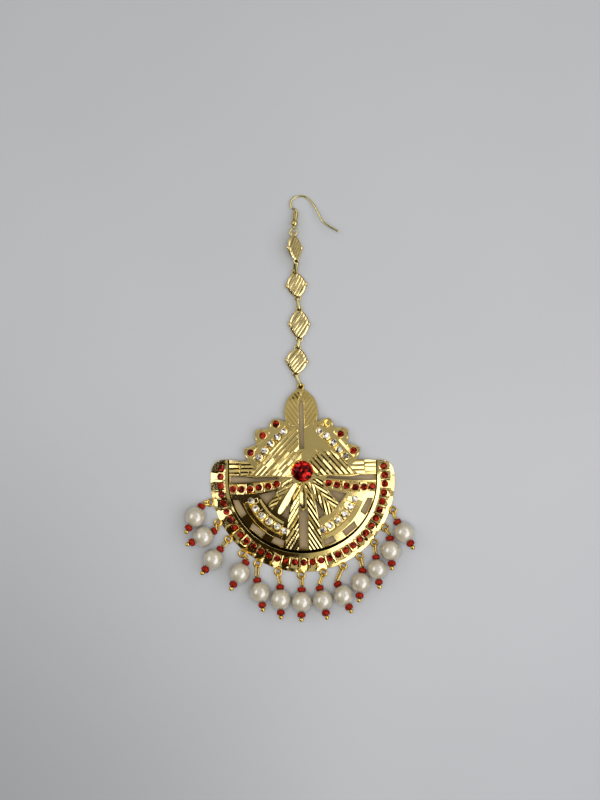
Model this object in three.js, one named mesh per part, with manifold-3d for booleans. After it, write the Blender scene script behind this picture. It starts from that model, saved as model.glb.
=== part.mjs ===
// Maang tikka, a forehead pendant worn on the hair parting: a wire hair hook, four cushion links
// on jump rings, and a pierced, domed fan plate in a horseshoe rim with thirteen pearl drops.
// Millimetres, +Z up, lying flat: +X to the right, +Y from the fan towards the hook.
// Every size is measured from the centre of the rim's arc. The last lines move the finished
// group so that its origin is the bottom centre of its box.

import * as THREE from "three";
import { mergeVertices } from "three/addons/utils/BufferGeometryUtils.js";
import Module from "manifold-3d";

// ---------------------------------------------------------------- driving dimensions

// The rim: a horseshoe of flat band with a bevelled outer edge.
const RIM = { inner: 30.0, outer: 38.6, top: 2.2, edge: 1.2, bevel: 2.0, ends: 8.6, corner: 5.5 };

// The fan: a pierced sheet pressed into a dome, level again past the dome's foot.
const FAN = { crown: 6.0, foot: 2.0, footRadius: 34, sheet: 0.8, side: 31.2, askew: 1.2 };

// The centre stone, up the fan's axis from the centre of the arc. Its back sits over a low cup,
// which the girdle hides from above.
const STONE = { y: 4.0, radius: 4.4, table: 2.4, lift: 0.3, pavilion: 0.9, girdle: 0.35, crown: 1.3 };
const CUP = { outer: 4.2, wall: 0.45, height: 0.6 };

// Rings soldered to the rim's edge, one for each drop, and the one at the leaf's tip.
const EYELET = { radius: 1.35, wire: 0.33, reach: 39.9, z: 1.2 };
const TIP_EYELET = { y: 39.2, radius: 1.15, wire: 0.33, z: 1.5 };

// A drop: an eyed pin through a seed bead, a pearl and a second seed bead, with a ball end.
const PEARL = { radius: 4.3, bore: 0.6 };
const PIN = { wire: 0.3, tilt: 19, neck: 6.7, ball: 1.0 };
const PIN_EYE = { wire: 0.28, halfHeight: 0.85, least: 2.6, inside: 0.5 };
const BEAD = { radius: 1.6, length: 1.7, chamfer: 0.45, gap: 0.3 };

// The stamped links and the oval jump rings between them.
const LINK = { thickness: 2.3, edge: 0.6, blunt: 0.12, swell: 1.2, round: 0.8, bump: 0.65, bumpInset: 0.2 };
const LINK_EYELET = { radius: 1.2, wire: 0.25, gap: 0.7 };
const JUMP_RING = { wire: 0.3, halfHeight: 1.0 };

// The hair hook, a bent wire with a coil and a ball threaded on its stem.
const HOOK = { wire: 0.4, loop: 1.5, slope: 11.2 };
const COIL = { inner: 0.62, outer: 1.05, turns: 7, from: 5.3, to: 9.2 };
const HOOK_BEAD = { radius: 1.5, bore: 0.7, at: 3.7 };

// How each drop lies: where its eyelet is on the arc, in degrees from straight down, where the
// pearl's centre is, and which way the pin points, in degrees from straight down.
const DROPS = [
  { eyelet: -76.3, pearl: [-44.8, -15.2], lean: -30 },
  { eyelet: -63.2, pearl: [-41.5, -23.4], lean: -65 },
  { eyelet: -51.4, pearl: [-37.4, -32.8], lean: -38 },
  { eyelet: -39.3, pearl: [-26.2, -38.7], lean: -30 },
  { eyelet: -28.3, pearl: [-17.9, -46.7], lean: 12 },
  { eyelet: -14.9, pearl: [-9.2, -49.7], lean: 2 },
  { eyelet: -0.8, pearl: [-0.4, -50.7], lean: -1 },
  { eyelet: 12.7, pearl: [8.4, -50.0], lean: 14 },
  { eyelet: 25.2, pearl: [17.0, -47.9], lean: 27 },
  { eyelet: 36.8, pearl: [24.3, -42.7], lean: -7 },
  { eyelet: 48.8, pearl: [31.2, -37.1], lean: 6 },
  { eyelet: 60.0, pearl: [36.8, -29.3], lean: 2 },
  { eyelet: 71.5, pearl: [42.2, -21.7], lean: 31 },
];

// The links from the hook down: centre, width and height of the cushion, its turn in the plane
// it lies in, and the first one's roll about its own length, with one corner on the table.
const LINKS = [
  { x: -3.3, y: 97.1, z: 3.75, width: 8.2, height: 9.2, lean: 6, roll: 45 },
  { x: -2.6, y: 81.8, z: 1.3, width: 7.9, height: 9.0, lean: 7, roll: 0 },
  { x: -1.4, y: 65.4, z: 1.3, width: 8.2, height: 10.4, lean: 1, roll: 0 },
  { x: -2.4, y: 50.0, z: 1.3, width: 8.6, height: 9.4, lean: -4, roll: 0 },
];

// The hook's bend past the coil, as distances from the loop's centre, and its flared tip.
const HOOK_BEND = [
  [1.1, 9.6], [-0.7, 10.5], [-1.2, 12.7], [0.4, 15.1], [2.6, 15.7], [5.2, 15.3],
  [7.9, 12.7], [9.8, 9.5], [11.7, 5.6], [12.4, 4.5], [15.0, 2.4], [18.6, 0.3],
];

// ---------------------------------------------------------------- outlines of the fan

// Half of the crown's edge, from the leaf's tip down to the arm. Each half mirrors the other.
const CROWN_EDGE = [
  [0, 38.1], [2.2, 37.7], [5.6, 34.2], [6.8, 30.6], [7.1, 27.3], [6.7, 24.5], // leaf
  [9.3, 25.7], [12.0, 25.9], [13.0, 24.3], [13.7, 21.9], // first cusp
  [18.4, 21.8], [19.5, 20.7], [19.6, 17.8], [18.9, 15.4], // second cusp
  [20.9, 14.8], [24.4, 13.4], [24.1, 11.2], [22.8, 8.5], // third cusp
];

// The openings of one half. The bars and arms between them carry the flutes and the stones.
const OPENINGS = {
  longSlot: [[33, 2.1], [24, 1.9], [20, 1.2], [11, 1.9], [9.6, 0.9], [15.5, 0.4], [23.5, -0.3], [33, -0.5]],
  barTriangle: [[18.3, -5.6], [10.1, -3.8], [15.2, -9.8]],
  frondSlit: [[4.9, -7.3], [8.9, -14.4], [6.4, -16.1]],
  sideLattice: [[27.0, -7.7], [29.2, -7.9], [28.4, -12.0], [25.8, -15.1], [23.8, -13.4]],
  lowLattice: [[21.2, -17.3], [22.5, -19.8], [17.6, -23.8], [16.0, -21.6]],
  footLattice: [[12.2, -23.2], [13.6, -25.6], [8.8, -28.2], [8.1, -25.0]],
};

// The openings that lie on the axis.
const AXIS_OPENINGS = {
  crownSlot: [[-0.9, 13.3], [0.9, 13.3], [0.7, 32.0], [0, 33.6], [-0.7, 32.0]],
  footSlot: [[-1.75, -28.4], [1.75, -28.4], [1.75, -11.4], [0, -12.9], [-1.75, -11.4]],
};

// ---------------------------------------------------------------- solids

const wasm = await Module();
wasm.setup();

const degrees = THREE.MathUtils.degToRad;
const UP = new THREE.Vector3(0, 0, 1);

// A manifold solid of a closed geometry.
function solidOf(geometry) {
  const bare = new THREE.BufferGeometry();
  bare.setAttribute("position", geometry.getAttribute("position").clone());
  if (geometry.index) {
    bare.setIndex(geometry.index.clone());
  }
  const merged = mergeVertices(bare, 1e-4);
  const whole = [];
  const index = merged.index.array;
  for (let i = 0; i < index.length; i += 3) {
    const [a, b, c] = [index[i], index[i + 1], index[i + 2]];
    if (a !== b && b !== c && c !== a) {
      whole.push(a, b, c);
    }
  }
  return new wasm.Manifold(new wasm.Mesh({
    numProp: 3,
    vertProperties: new Float32Array(merged.getAttribute("position").array),
    triVerts: new Uint32Array(whole),
  }));
}

// The geometry of a manifold solid.
function geometryOf(solid) {
  const mesh = solid.getMesh();
  const geometry = new THREE.BufferGeometry();
  geometry.setAttribute("position", new THREE.BufferAttribute(mesh.vertProperties, 3));
  geometry.setIndex(new THREE.BufferAttribute(mesh.triVerts, 1));
  return geometry;
}

// Geometries joined into one body.
function joined(geometries) {
  return geometryOf(geometries.map(solidOf).reduce((whole, next) => whole.add(next)));
}

// An upright prism of a shape.
function prism(shape, bottom, top) {
  const geometry = new THREE.ExtrudeGeometry(shape, {
    depth: top - bottom,
    bevelEnabled: false,
    curveSegments: 12,
  });
  return geometry.translate(0, 0, bottom);
}

// A body turned about Z from a profile of [radius, z] points, given from the bottom up. The
// profile starts and ends on the axis, or comes back to its first point.
function turned(profile, segments) {
  const points = profile.map(([radius, z]) => new THREE.Vector2(radius, z));
  return new THREE.LatheGeometry(points, segments).rotateX(Math.PI / 2);
}

// A ring of round wire lying in XY, drawn out along X where it is longer than high.
function wireRing(halfLength, halfHeight, wire, sides = 5, steps = 14) {
  const ring = new THREE.TorusGeometry(halfHeight, wire, sides, steps);
  const position = ring.getAttribute("position");
  const draw = halfLength - halfHeight;
  for (let i = 0; i < position.count; i += 1) {
    const side = position.getX(i) > 1e-6 ? 1 : -1;
    position.setX(i, position.getX(i) + side * draw);
  }
  return ring;
}

// A ring whose long axis runs between two points. Its plane stands upright, less its roll.
function ringBetween(from, to, halfHeight, wire, roll = 0) {
  const along = new THREE.Vector3().subVectors(to, from);
  const halfLength = Math.max(along.length() / 2, halfHeight);
  along.normalize();
  const across = new THREE.Vector3().crossVectors(UP, along).normalize();
  const rise = new THREE.Vector3().crossVectors(along, across);
  const middle = new THREE.Vector3().addVectors(from, to).multiplyScalar(0.5);
  const frame = new THREE.Matrix4().makeBasis(along, rise, across.negate()).setPosition(middle);
  return wireRing(halfLength, halfHeight, wire).rotateX(-roll).applyMatrix4(frame);
}

// A straight or bent wire of round section with flat ends.
function wireAlong(curve, wire, steps, sides = 8) {
  const section = new THREE.Shape();
  for (let i = 0; i < sides; i += 1) {
    const turn = (2 * Math.PI * i) / sides;
    const [x, y] = [wire * Math.cos(turn), wire * Math.sin(turn)];
    if (i === 0) {
      section.moveTo(x, y);
    } else {
      section.lineTo(x, y);
    }
  }
  section.closePath();
  return new THREE.ExtrudeGeometry(section, { steps, extrudePath: curve, bevelEnabled: false });
}

// ---------------------------------------------------------------- the fan plate

function mirrored(points) {
  return points.map(([x, y]) => [-x, y]);
}

// A closed outline through points of the fan, turned by the little that the fan sits askew.
function fanOutline(points) {
  const turn = degrees(FAN.askew);
  const placed = points.map(([x, y]) => new THREE.Vector2(x, y).rotateAround({ x: 0, y: 0 }, turn));
  return new THREE.Shape(placed);
}

// The sheet's edge and its openings, drawn past the rim, where the frame's inside trims it.
function fanShape() {
  const skirt = [[36, 8.5], [36, -36]];
  const half = [...CROWN_EDGE, ...skirt];
  const edge = [...mirrored(half.slice(1)), ...half.reverse()];
  const shape = fanOutline(edge);
  for (const opening of Object.values(OPENINGS)) {
    shape.holes.push(fanOutline(opening), fanOutline(mirrored(opening)));
  }
  for (const opening of Object.values(AXIS_OPENINGS)) {
    shape.holes.push(fanOutline(opening));
  }
  return shape;
}

// The D that the fan fills: straight sides over the lower half of a circle.
function fanTrim() {
  const shape = new THREE.Shape();
  shape.moveTo(FAN.side, 45);
  shape.lineTo(-FAN.side, 45);
  shape.lineTo(-FAN.side, 0);
  shape.absarc(0, 0, FAN.side, Math.PI, 2 * Math.PI, false);
  shape.closePath();
  return shape;
}

// The height of the dome's outer face at a distance from the centre of the arc.
function domeHeight(distance) {
  const share = Math.min(distance / FAN.footRadius, 1);
  return FAN.crown - (FAN.crown - FAN.foot) * share * share;
}

// The domed sheet before it is pierced.
function domeShell() {
  const radii = [0, 8, 15, 21, 26, 30, FAN.footRadius, 46];
  const outer = radii.map((radius) => [radius, domeHeight(radius)]);
  const inner = outer.map(([radius, z]) => [radius, z - FAN.sheet]);
  return turned([...inner, ...outer.reverse()], 32);
}

function fanSheet() {
  const pierced = solidOf(prism(fanShape(), -1, 12));
  const trim = solidOf(prism(fanTrim(), -2, 13));
  return pierced.intersect(trim).intersect(solidOf(domeShell()));
}

// ---------------------------------------------------------------- the rim

// The horseshoe's blank: everything below the two ends, whose outer corners are round.
function rimBlank() {
  const { ends, corner } = RIM;
  const far = RIM.outer + 2;
  const side = Math.sqrt(RIM.outer ** 2 - ends ** 2);
  const shape = new THREE.Shape();
  shape.moveTo(-far, -far);
  shape.lineTo(far, -far);
  shape.lineTo(far, ends - corner);
  shape.lineTo(side + 1, ends - corner);
  shape.quadraticCurveTo(side, ends, side - corner, ends);
  shape.lineTo(corner - side, ends);
  shape.quadraticCurveTo(-side, ends, -side - 1, ends - corner);
  shape.lineTo(-far, ends - corner);
  shape.closePath();
  return shape;
}

function rimBand() {
  const { inner, outer, top, edge, bevel } = RIM;
  const section = [[inner, 0], [outer, 0], [outer, edge], [outer - bevel, top], [inner, top], [inner, 0]];
  return solidOf(turned(section, 72)).intersect(solidOf(prism(rimBlank(), -1, 4)));
}

// Where an eyelet's centre is on the rim.
function eyeletPlace(turnFromDown) {
  const turn = degrees(turnFromDown);
  return new THREE.Vector3(EYELET.reach * Math.sin(turn), -EYELET.reach * Math.cos(turn), EYELET.z);
}

function rimEyelet(drop) {
  const { x, y, z } = eyeletPlace(drop.eyelet);
  const ring = wireRing(EYELET.radius, EYELET.radius, EYELET.wire);
  return solidOf(ring.rotateZ(degrees(drop.eyelet)).translate(x, y, z));
}

// ---------------------------------------------------------------- pieces on the plate

// A point of the fan as it sits askew.
function onFan(x, y, z) {
  return new THREE.Vector3(x, y, z).applyAxisAngle(UP, degrees(FAN.askew));
}

const TIP = onFan(0, TIP_EYELET.y, TIP_EYELET.z);
const SEAT = onFan(0, STONE.y, domeHeight(STONE.y));

function tipEyelet() {
  const ring = wireRing(TIP_EYELET.radius, TIP_EYELET.radius, TIP_EYELET.wire);
  return solidOf(ring.translate(TIP.x, TIP.y, TIP.z));
}

function stoneCup() {
  const { outer, wall, height } = CUP;
  const inner = outer - wall;
  const foot = -FAN.sheet / 2;
  const section = [[inner, foot], [outer, foot], [outer, height], [inner, height], [inner, foot]];
  return solidOf(turned(section, 24).translate(SEAT.x, SEAT.y, SEAT.z));
}

// The whole soldered plate: fan, rim, the stone's cup and all the eyelets.
function platePiece() {
  const parts = [fanSheet(), rimBand(), stoneCup(), tipEyelet(), ...DROPS.map(rimEyelet)];
  return geometryOf(parts.reduce((whole, next) => whole.add(next)));
}

// The round stone: a low pavilion, a thin girdle and a crown with a flat table.
function centreStone() {
  const { radius, table, lift, pavilion, girdle, crown } = STONE;
  const edge = lift + pavilion;
  const top = edge + girdle + crown;
  const pavilionSide = [[0, lift], [table, lift], [radius, edge]];
  const crownSide = [[radius, edge + girdle], [table, top], [0, top]];
  return turned([...pavilionSide, ...crownSide], 16).translate(SEAT.x, SEAT.y, SEAT.z);
}

// ---------------------------------------------------------------- the drops

// The way that a drop's pin points, from its eye to its ball end, which stands a little higher.
function dropAxis(drop) {
  const lean = degrees(drop.lean);
  const tilt = degrees(PIN.tilt);
  return new THREE.Vector3(
    Math.sin(lean) * Math.cos(tilt),
    -Math.cos(lean) * Math.cos(tilt),
    Math.sin(tilt),
  );
}

function pearlPlace(drop) {
  return new THREE.Vector3(drop.pearl[0], drop.pearl[1], PEARL.radius);
}

// A geometry made along Z, laid on the drop's axis about the pearl's centre.
function onDrop(geometry, drop) {
  const turn = new THREE.Quaternion().setFromUnitVectors(UP, dropAxis(drop));
  const { x, y, z } = pearlPlace(drop);
  return geometry.applyQuaternion(turn).translate(x, y, z);
}

// A sphere with a bore along Z, as a closed profile.
function boredBall(radius, bore, segments, rows) {
  const pole = Math.asin(bore / radius);
  const profile = [];
  for (let i = 0; i <= rows; i += 1) {
    const turn = pole + ((Math.PI - 2 * pole) * i) / rows;
    profile.push([radius * Math.sin(turn), -radius * Math.cos(turn)]);
  }
  return turned([...profile, profile[0]], segments);
}

function pearl(drop) {
  return onDrop(boredBall(PEARL.radius, PEARL.bore, 14, 9), drop);
}

// One seed bead's outline on the pin, from its first face on.
function beadProfile(start) {
  const { radius, length, chamfer } = BEAD;
  return [
    [PIN.wire, start],
    [radius - chamfer, start],
    [radius, start + chamfer],
    [radius, start + length - chamfer],
    [radius - chamfer, start + length],
    [PIN.wire, start + length],
  ];
}

// The pin with its two seed beads and its ball end.
function pinShank() {
  const face = PEARL.radius + BEAD.gap;
  const ball = face + BEAD.length + PIN.ball;
  const profile = [
    [0, -PIN.neck],
    [PIN.wire, -PIN.neck],
    ...beadProfile(-face - BEAD.length),
    ...beadProfile(face),
    [PIN.ball * 0.8, ball - PIN.ball * 0.6],
    [PIN.ball, ball],
    [PIN.ball * 0.7, ball + PIN.ball * 0.7],
    [0, ball + PIN.ball],
  ];
  return turned(profile, 7);
}

// The eye at the pin's head. It reaches through the rim's eyelet, and is never too short for it.
function pinEye(drop) {
  const { wire, halfHeight, least, inside } = PIN_EYE;
  const neck = pearlPlace(drop).addScaledVector(dropAxis(drop), -PIN.neck);
  const eyelet = eyeletPlace(drop.eyelet);
  const reach = new THREE.Vector3().subVectors(neck, eyelet).setZ(0);
  const short = Math.min(inside, reach.length() - least);
  const far = eyelet.clone().addScaledVector(reach.normalize(), short);
  return ringBetween(neck, far, halfHeight, wire);
}

function pin(drop) {
  return joined([onDrop(pinShank(), drop), pinEye(drop)]);
}

// ---------------------------------------------------------------- the links

// The cushion's outline: a rhombus with blunt corners, whose sides swell a little.
function linkShape(width, height) {
  const [side, end] = [width / 2 - LINK.edge, height / 2 - LINK.edge];
  const corners = [[side, 0], [0, end], [-side, 0], [0, -end]];
  const points = corners.flatMap(([x, y], i) => {
    const [nextX, nextY] = corners[(i + 1) % 4];
    return [LINK.blunt, 0.5, 1 - LINK.blunt].map((share) => {
      const swell = share === 0.5 ? LINK.swell : 1;
      return new THREE.Vector2((x + (nextX - x) * share) * swell, (y + (nextY - y) * share) * swell);
    });
  });
  return new THREE.Shape(points);
}

// The cushion: the rhombus pressed up in the middle and rolled round at its edge.
function linkCushion({ width, height }) {
  const { thickness, edge, round } = LINK;
  const body = new THREE.ExtrudeGeometry(linkShape(width, height), {
    depth: thickness - 2 * round,
    bevelThickness: round,
    bevelSize: edge,
    bevelSegments: 2,
  });
  return body.translate(0, 0, round - thickness / 2);
}

// The eyelet's distance from the link's centre.
function linkReach(link) {
  return link.height / 2 + LINK_EYELET.gap;
}

function linkPiece(link) {
  const { radius, wire } = LINK_EYELET;
  const corner = link.width / 2 - LINK.bumpInset;
  const parts = [linkCushion(link)];
  for (const side of [-1, 1]) {
    parts.push(new THREE.SphereGeometry(LINK.bump, 8, 6).translate(side * corner, 0, 0));
    parts.push(wireRing(radius, radius, wire).translate(0, side * linkReach(link), 0));
  }
  return joined(parts);
}

// A link's place on the table.
function linkFrame(link) {
  const turn = new THREE.Euler(0, degrees(link.roll), degrees(link.lean), "ZYX");
  return new THREE.Matrix4().makeRotationFromEuler(turn).setPosition(link.x, link.y, link.z);
}

function linkEye(link, side) {
  return new THREE.Vector3(0, side * linkReach(link), 0).applyMatrix4(linkFrame(link));
}

// ---------------------------------------------------------------- the hair hook

// The hook's stem leans a little, in the direction of the first point past the coil.
const STEM = new THREE.Vector3(HOOK_BEND[0][0], HOOK_BEND[0][1], 0).normalize();

// A geometry made along Z, threaded on the stem at a distance from the loop's centre.
function onStem(geometry, distance) {
  const turn = new THREE.Quaternion().setFromUnitVectors(UP, STEM);
  const place = STEM.clone().multiplyScalar(distance);
  return geometry.applyQuaternion(turn).translate(place.x, place.y, place.z);
}

function hookWire() {
  const bend = HOOK_BEND.map(([x, y]) => new THREE.Vector3(x, y, 0));
  const stem = [HOOK.loop, 4, 7].map((distance) => STEM.clone().multiplyScalar(distance));
  const curve = new THREE.CatmullRomCurve3([...stem, ...bend], false, "catmullrom", 0.4);
  const loop = wireRing(HOOK.loop, HOOK.loop, HOOK.wire, 8, 18);
  return joined([wireAlong(curve, HOOK.wire, 44), loop]);
}

// The coil's outer shape: a ridge for each turn of wire.
function hookCoil() {
  const { inner, outer, turns, from, to } = COIL;
  const length = to - from;
  const profile = [[inner, 0]];
  for (let i = 0; i < turns; i += 1) {
    profile.push([outer - 0.12, (length * i) / turns]);
    profile.push([outer, (length * (i + 0.5)) / turns]);
  }
  profile.push([outer - 0.12, length], [inner, length], [inner, 0]);
  return onStem(turned(profile, 10), from);
}

function hookBead() {
  return onStem(boredBall(HOOK_BEAD.radius, HOOK_BEAD.bore, 12, 6), HOOK_BEAD.at);
}

// ---------------------------------------------------------------- materials and the group

function metal(color, roughness) {
  return new THREE.MeshStandardMaterial({ color, roughness, metalness: 1 });
}

function stone(color, roughness) {
  return new THREE.MeshStandardMaterial({ color, roughness, metalness: 0 });
}

const tikka = new THREE.Group();

function place(parent, name, geometry, material) {
  const mesh = new THREE.Mesh(geometry, material);
  mesh.name = name;
  parent.add(mesh);
  return mesh;
}

function numbered(name, i) {
  return `${name}_${String(i + 1).padStart(2, "0")}`;
}

// The hook slopes from its loop, held up by the first link, down to its bend on the table.
const hook = new THREE.Group();
hook.rotation.x = -degrees(HOOK.slope);
hook.position.set(0, HOOK.loop, 0).applyEuler(hook.rotation).add(linkEye(LINKS[0], 1));
tikka.add(hook);
place(hook, "ear_hook", hookWire(), metal("#c8a84f", 0.25));
place(hook, "hook_coil", hookCoil(), metal("#c8a84f", 0.3));
place(hook, "hook_bead", hookBead(), metal("#d6b45a", 0.2));

LINKS.forEach((link, i) => {
  const mesh = place(tikka, numbered("link", i), linkPiece(link), metal("#cdb978", 0.25));
  mesh.applyMatrix4(linkFrame(link));
});

// Each jump ring joins a link's lower eyelet to the next one, and the last to the leaf's tip.
// It takes half of the roll that the link above it has.
LINKS.forEach((link, i) => {
  const next = i + 1 < LINKS.length ? linkEye(LINKS[i + 1], 1) : TIP;
  const roll = degrees(link.roll / 2);
  const ring = ringBetween(linkEye(link, -1), next, JUMP_RING.halfHeight, JUMP_RING.wire, roll);
  place(tikka, numbered("jump_ring", i), ring, metal("#a8862f", 0.3));
});

place(tikka, "fan_plate", platePiece(), metal("#cdb978", 0.2));
place(tikka, "centre_stone", centreStone(), stone("#8c1210", 0.05));

DROPS.forEach((drop, i) => {
  place(tikka, numbered("pearl", i), pearl(drop), stone("#d9d0c1", 0.25));
  place(tikka, numbered("drop_pin", i), pin(drop), metal("#c9a23c", 0.25));
});

const box = new THREE.Box3().setFromObject(tikka, true);
const middle = box.getCenter(new THREE.Vector3());
tikka.position.set(-middle.x, -middle.y, -box.min.z);

export default tikka;
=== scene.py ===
import math
import random

import bpy
import numpy as np
from mathutils import Matrix, Vector, noise
from mathutils.geometry import delaunay_2d_cdt


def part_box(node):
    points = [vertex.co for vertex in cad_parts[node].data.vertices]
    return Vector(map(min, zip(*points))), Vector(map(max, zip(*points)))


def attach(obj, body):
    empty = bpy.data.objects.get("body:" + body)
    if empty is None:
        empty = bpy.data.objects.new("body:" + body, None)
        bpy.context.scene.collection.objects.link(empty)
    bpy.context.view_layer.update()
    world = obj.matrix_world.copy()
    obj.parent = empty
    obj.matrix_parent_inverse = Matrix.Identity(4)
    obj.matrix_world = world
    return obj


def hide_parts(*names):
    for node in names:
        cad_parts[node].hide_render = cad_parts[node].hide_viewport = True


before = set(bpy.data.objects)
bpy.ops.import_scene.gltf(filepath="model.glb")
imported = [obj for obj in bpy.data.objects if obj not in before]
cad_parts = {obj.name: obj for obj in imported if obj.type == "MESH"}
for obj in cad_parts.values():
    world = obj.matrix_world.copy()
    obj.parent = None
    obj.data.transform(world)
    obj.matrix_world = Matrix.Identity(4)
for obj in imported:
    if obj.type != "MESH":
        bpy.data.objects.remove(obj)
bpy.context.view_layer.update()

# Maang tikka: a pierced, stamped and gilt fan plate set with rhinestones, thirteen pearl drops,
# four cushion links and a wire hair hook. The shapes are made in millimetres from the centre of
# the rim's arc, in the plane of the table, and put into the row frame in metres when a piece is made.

MM = 0.001
UP = Vector((0, 0, 1))

# ---- driving dimensions, in mm

ASKEW = math.radians(1.2)                 # the fan sits turned in its rim by this much
DOME = {"crown": 6.0, "foot": 2.0, "foot_radius": 34.0, "sheet": 0.8}
RIM = {"inner": 31.25, "outer": 38.6, "top": 2.2, "ends": 8.6, "corner": 5.5, "thinnest": 0.1, "ledge": 8.3}
LIP = {"most": 0.4, "from": -168.0, "to": 12.0, "fade": 14.0}
BAND = {"inner": 32.6, "drop": 0.15, "edge": 1.5}
BARS = {"half": 0.27, "foot": 0.46, "rise": 0.55, "lean": 0.3, "trench": 0.5, "edge": 0.12, "reach": 36.7}
RIM_STONES = {"count": 33, "reach": 34.5, "first": -188.5, "last": 9.9}
STONE = {"y": 4.0, "radius": 4.4}
SMALL_STONE = {"red": 1.43, "clear": 1.3}

# The rings and eyelets have thicker wires than in the frame, to look like the photo.
EYELET = {"radius": 1.35, "wire": 0.45, "reach": 39.9, "z": 1.2}
TIP_EYELET = {"y": 39.2, "radius": 1.15, "wire": 0.45, "z": 1.5}
PEARL = {"radius": 4.3, "bore": 0.6}
PIN = {"wire": 0.3, "tilt": 19.0, "neck": 6.7, "ball": 1.0}
PIN_EYE = {"wire": 0.4, "half_height": 0.85, "least": 2.6, "inside": 0.5}
BEAD = {"radius": 1.72, "length": 1.7, "gap": 0.3}
LINK = {
    "thickness": 2.3, "reach": 0.7, "eyelet": 1.2, "wire": 0.3, "bump": 0.95, "swell": 0.3, "longer": 1.6,
    "edge": 1.5, "heading": 55, "pitch": 1.35, "ribs": 4,
}
JUMP_RING = {"wire": 0.66, "half_height": 1.05, "shaded": 0.72}
HOOK = {"wire": 0.4, "loop": 1.5, "slope": 11.2, "bead": 1.5, "bead_at": 3.7}
COIL = {"radius": 0.83, "wire": 0.22, "turns": 9, "from": 5.3, "to": 9.2}


def box_middle(node):
    """The middle of a CAD node's box, in mm of the row frame."""
    low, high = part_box(node)
    return (Vector(low) + Vector(high)) / 2 / MM


def turned(point, angle=ASKEW):
    x, y = point
    return (x * math.cos(angle) - y * math.sin(angle), x * math.sin(angle) + y * math.cos(angle))


def polar(radius, degrees):
    a = math.radians(degrees)
    return (radius * math.cos(a), radius * math.sin(a))


def clamp(value, least=0, most=1):
    return min(max(value, least), most)


# The centre of the rim's arc in the row frame: the centre stone is STONE["y"] up the fan's axis.
_stone = box_middle("centre_stone")
_up_axis = turned((0, STONE["y"]))
ORIGIN = Vector((_stone.x - _up_axis[0], _stone.y - _up_axis[1], 0))


def on_plate(point):
    """A point of the row frame, in mm, taken to the plate's frame."""
    return Vector(point) - ORIGIN


# ---- mesh tools


class Piece:
    """Vertices in mm and faces, gathered part by part and then made into one object."""

    def __init__(self):
        self.verts = []
        self.faces = []
        self.smooth = []
        self.tones = []

    def add(self, verts, faces, smooth=True, frame_matrix=None, tones=None):
        """Tones say which of the piece's materials each face has; without them all have the first."""
        start = len(self.verts)
        for v in verts:
            p = Vector(v)
            self.verts.append(frame_matrix @ p if frame_matrix else p)
        for face in faces:
            self.faces.append([start + i for i in face])
            self.smooth.append(smooth)
        self.tones += tones or [0] * len(faces)

    def make(self, name, material, replaces=(), sharp=None, second=None):
        """Edges that turn by more than sharp, in degrees, stay crisp under smooth shading."""
        mesh = bpy.data.meshes.new(name)
        mesh.from_pydata([tuple((v + ORIGIN) * MM) for v in self.verts], [], self.faces)
        mesh.polygons.foreach_set("use_smooth", self.smooth)
        mesh.materials.append(material)
        if second:
            mesh.materials.append(second)
            mesh.polygons.foreach_set("material_index", self.tones)
        mesh.update()
        if sharp is not None:
            mesh.set_sharp_from_angle(angle=math.radians(sharp))
        obj = bpy.data.objects.new(name, mesh)
        bpy.context.scene.collection.objects.link(obj)
        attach(obj, "root")
        if replaces:
            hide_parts(*replaces)


def one_part(name, part, material, node, frame_matrix):
    """A piece of one part, which stands for one node."""
    piece = Piece()
    piece.add(*part, frame_matrix=frame_matrix)
    piece.make(name, material, [node])


def turns_of(count):
    return [2 * math.pi * i / count for i in range(count)]


def ring_of(radius, z, count, turn=0.0):
    """Points of a level circle about Z."""
    return [(radius * math.cos(a + turn), radius * math.sin(a + turn), z) for a in turns_of(count)]


def revolve(profile, segments):
    """A closed body turned about Z from [radius, z] points, from the bottom up. Points on the axis
    are poles; otherwise the profile is taken as a closed loop."""
    verts, rings = [], []
    for radius, z in profile:
        if radius < 1e-6:
            rings.append([len(verts)] * segments)
            verts.append((0, 0, z))
        else:
            rings.append([len(verts) + i for i in range(segments)])
            verts += ring_of(radius, z, segments)
    closed = profile[0][0] > 1e-6 and profile[-1][0] > 1e-6
    faces = []
    for low, high in sides_of(rings, closed):
        for i in range(segments):
            j = (i + 1) % segments
            face = [low[i], low[j], high[j], high[i]]
            face = [v for k, v in enumerate(face) if v != face[k - 1]]
            if len(face) > 2:
                faces.append(face)
    return verts, faces


def sides_of(points, closed=True):
    """Each side of a polygon, or of an open line, as its two ends."""
    return list(zip(points, points[1:] + (points[:1] if closed else [])))


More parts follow.
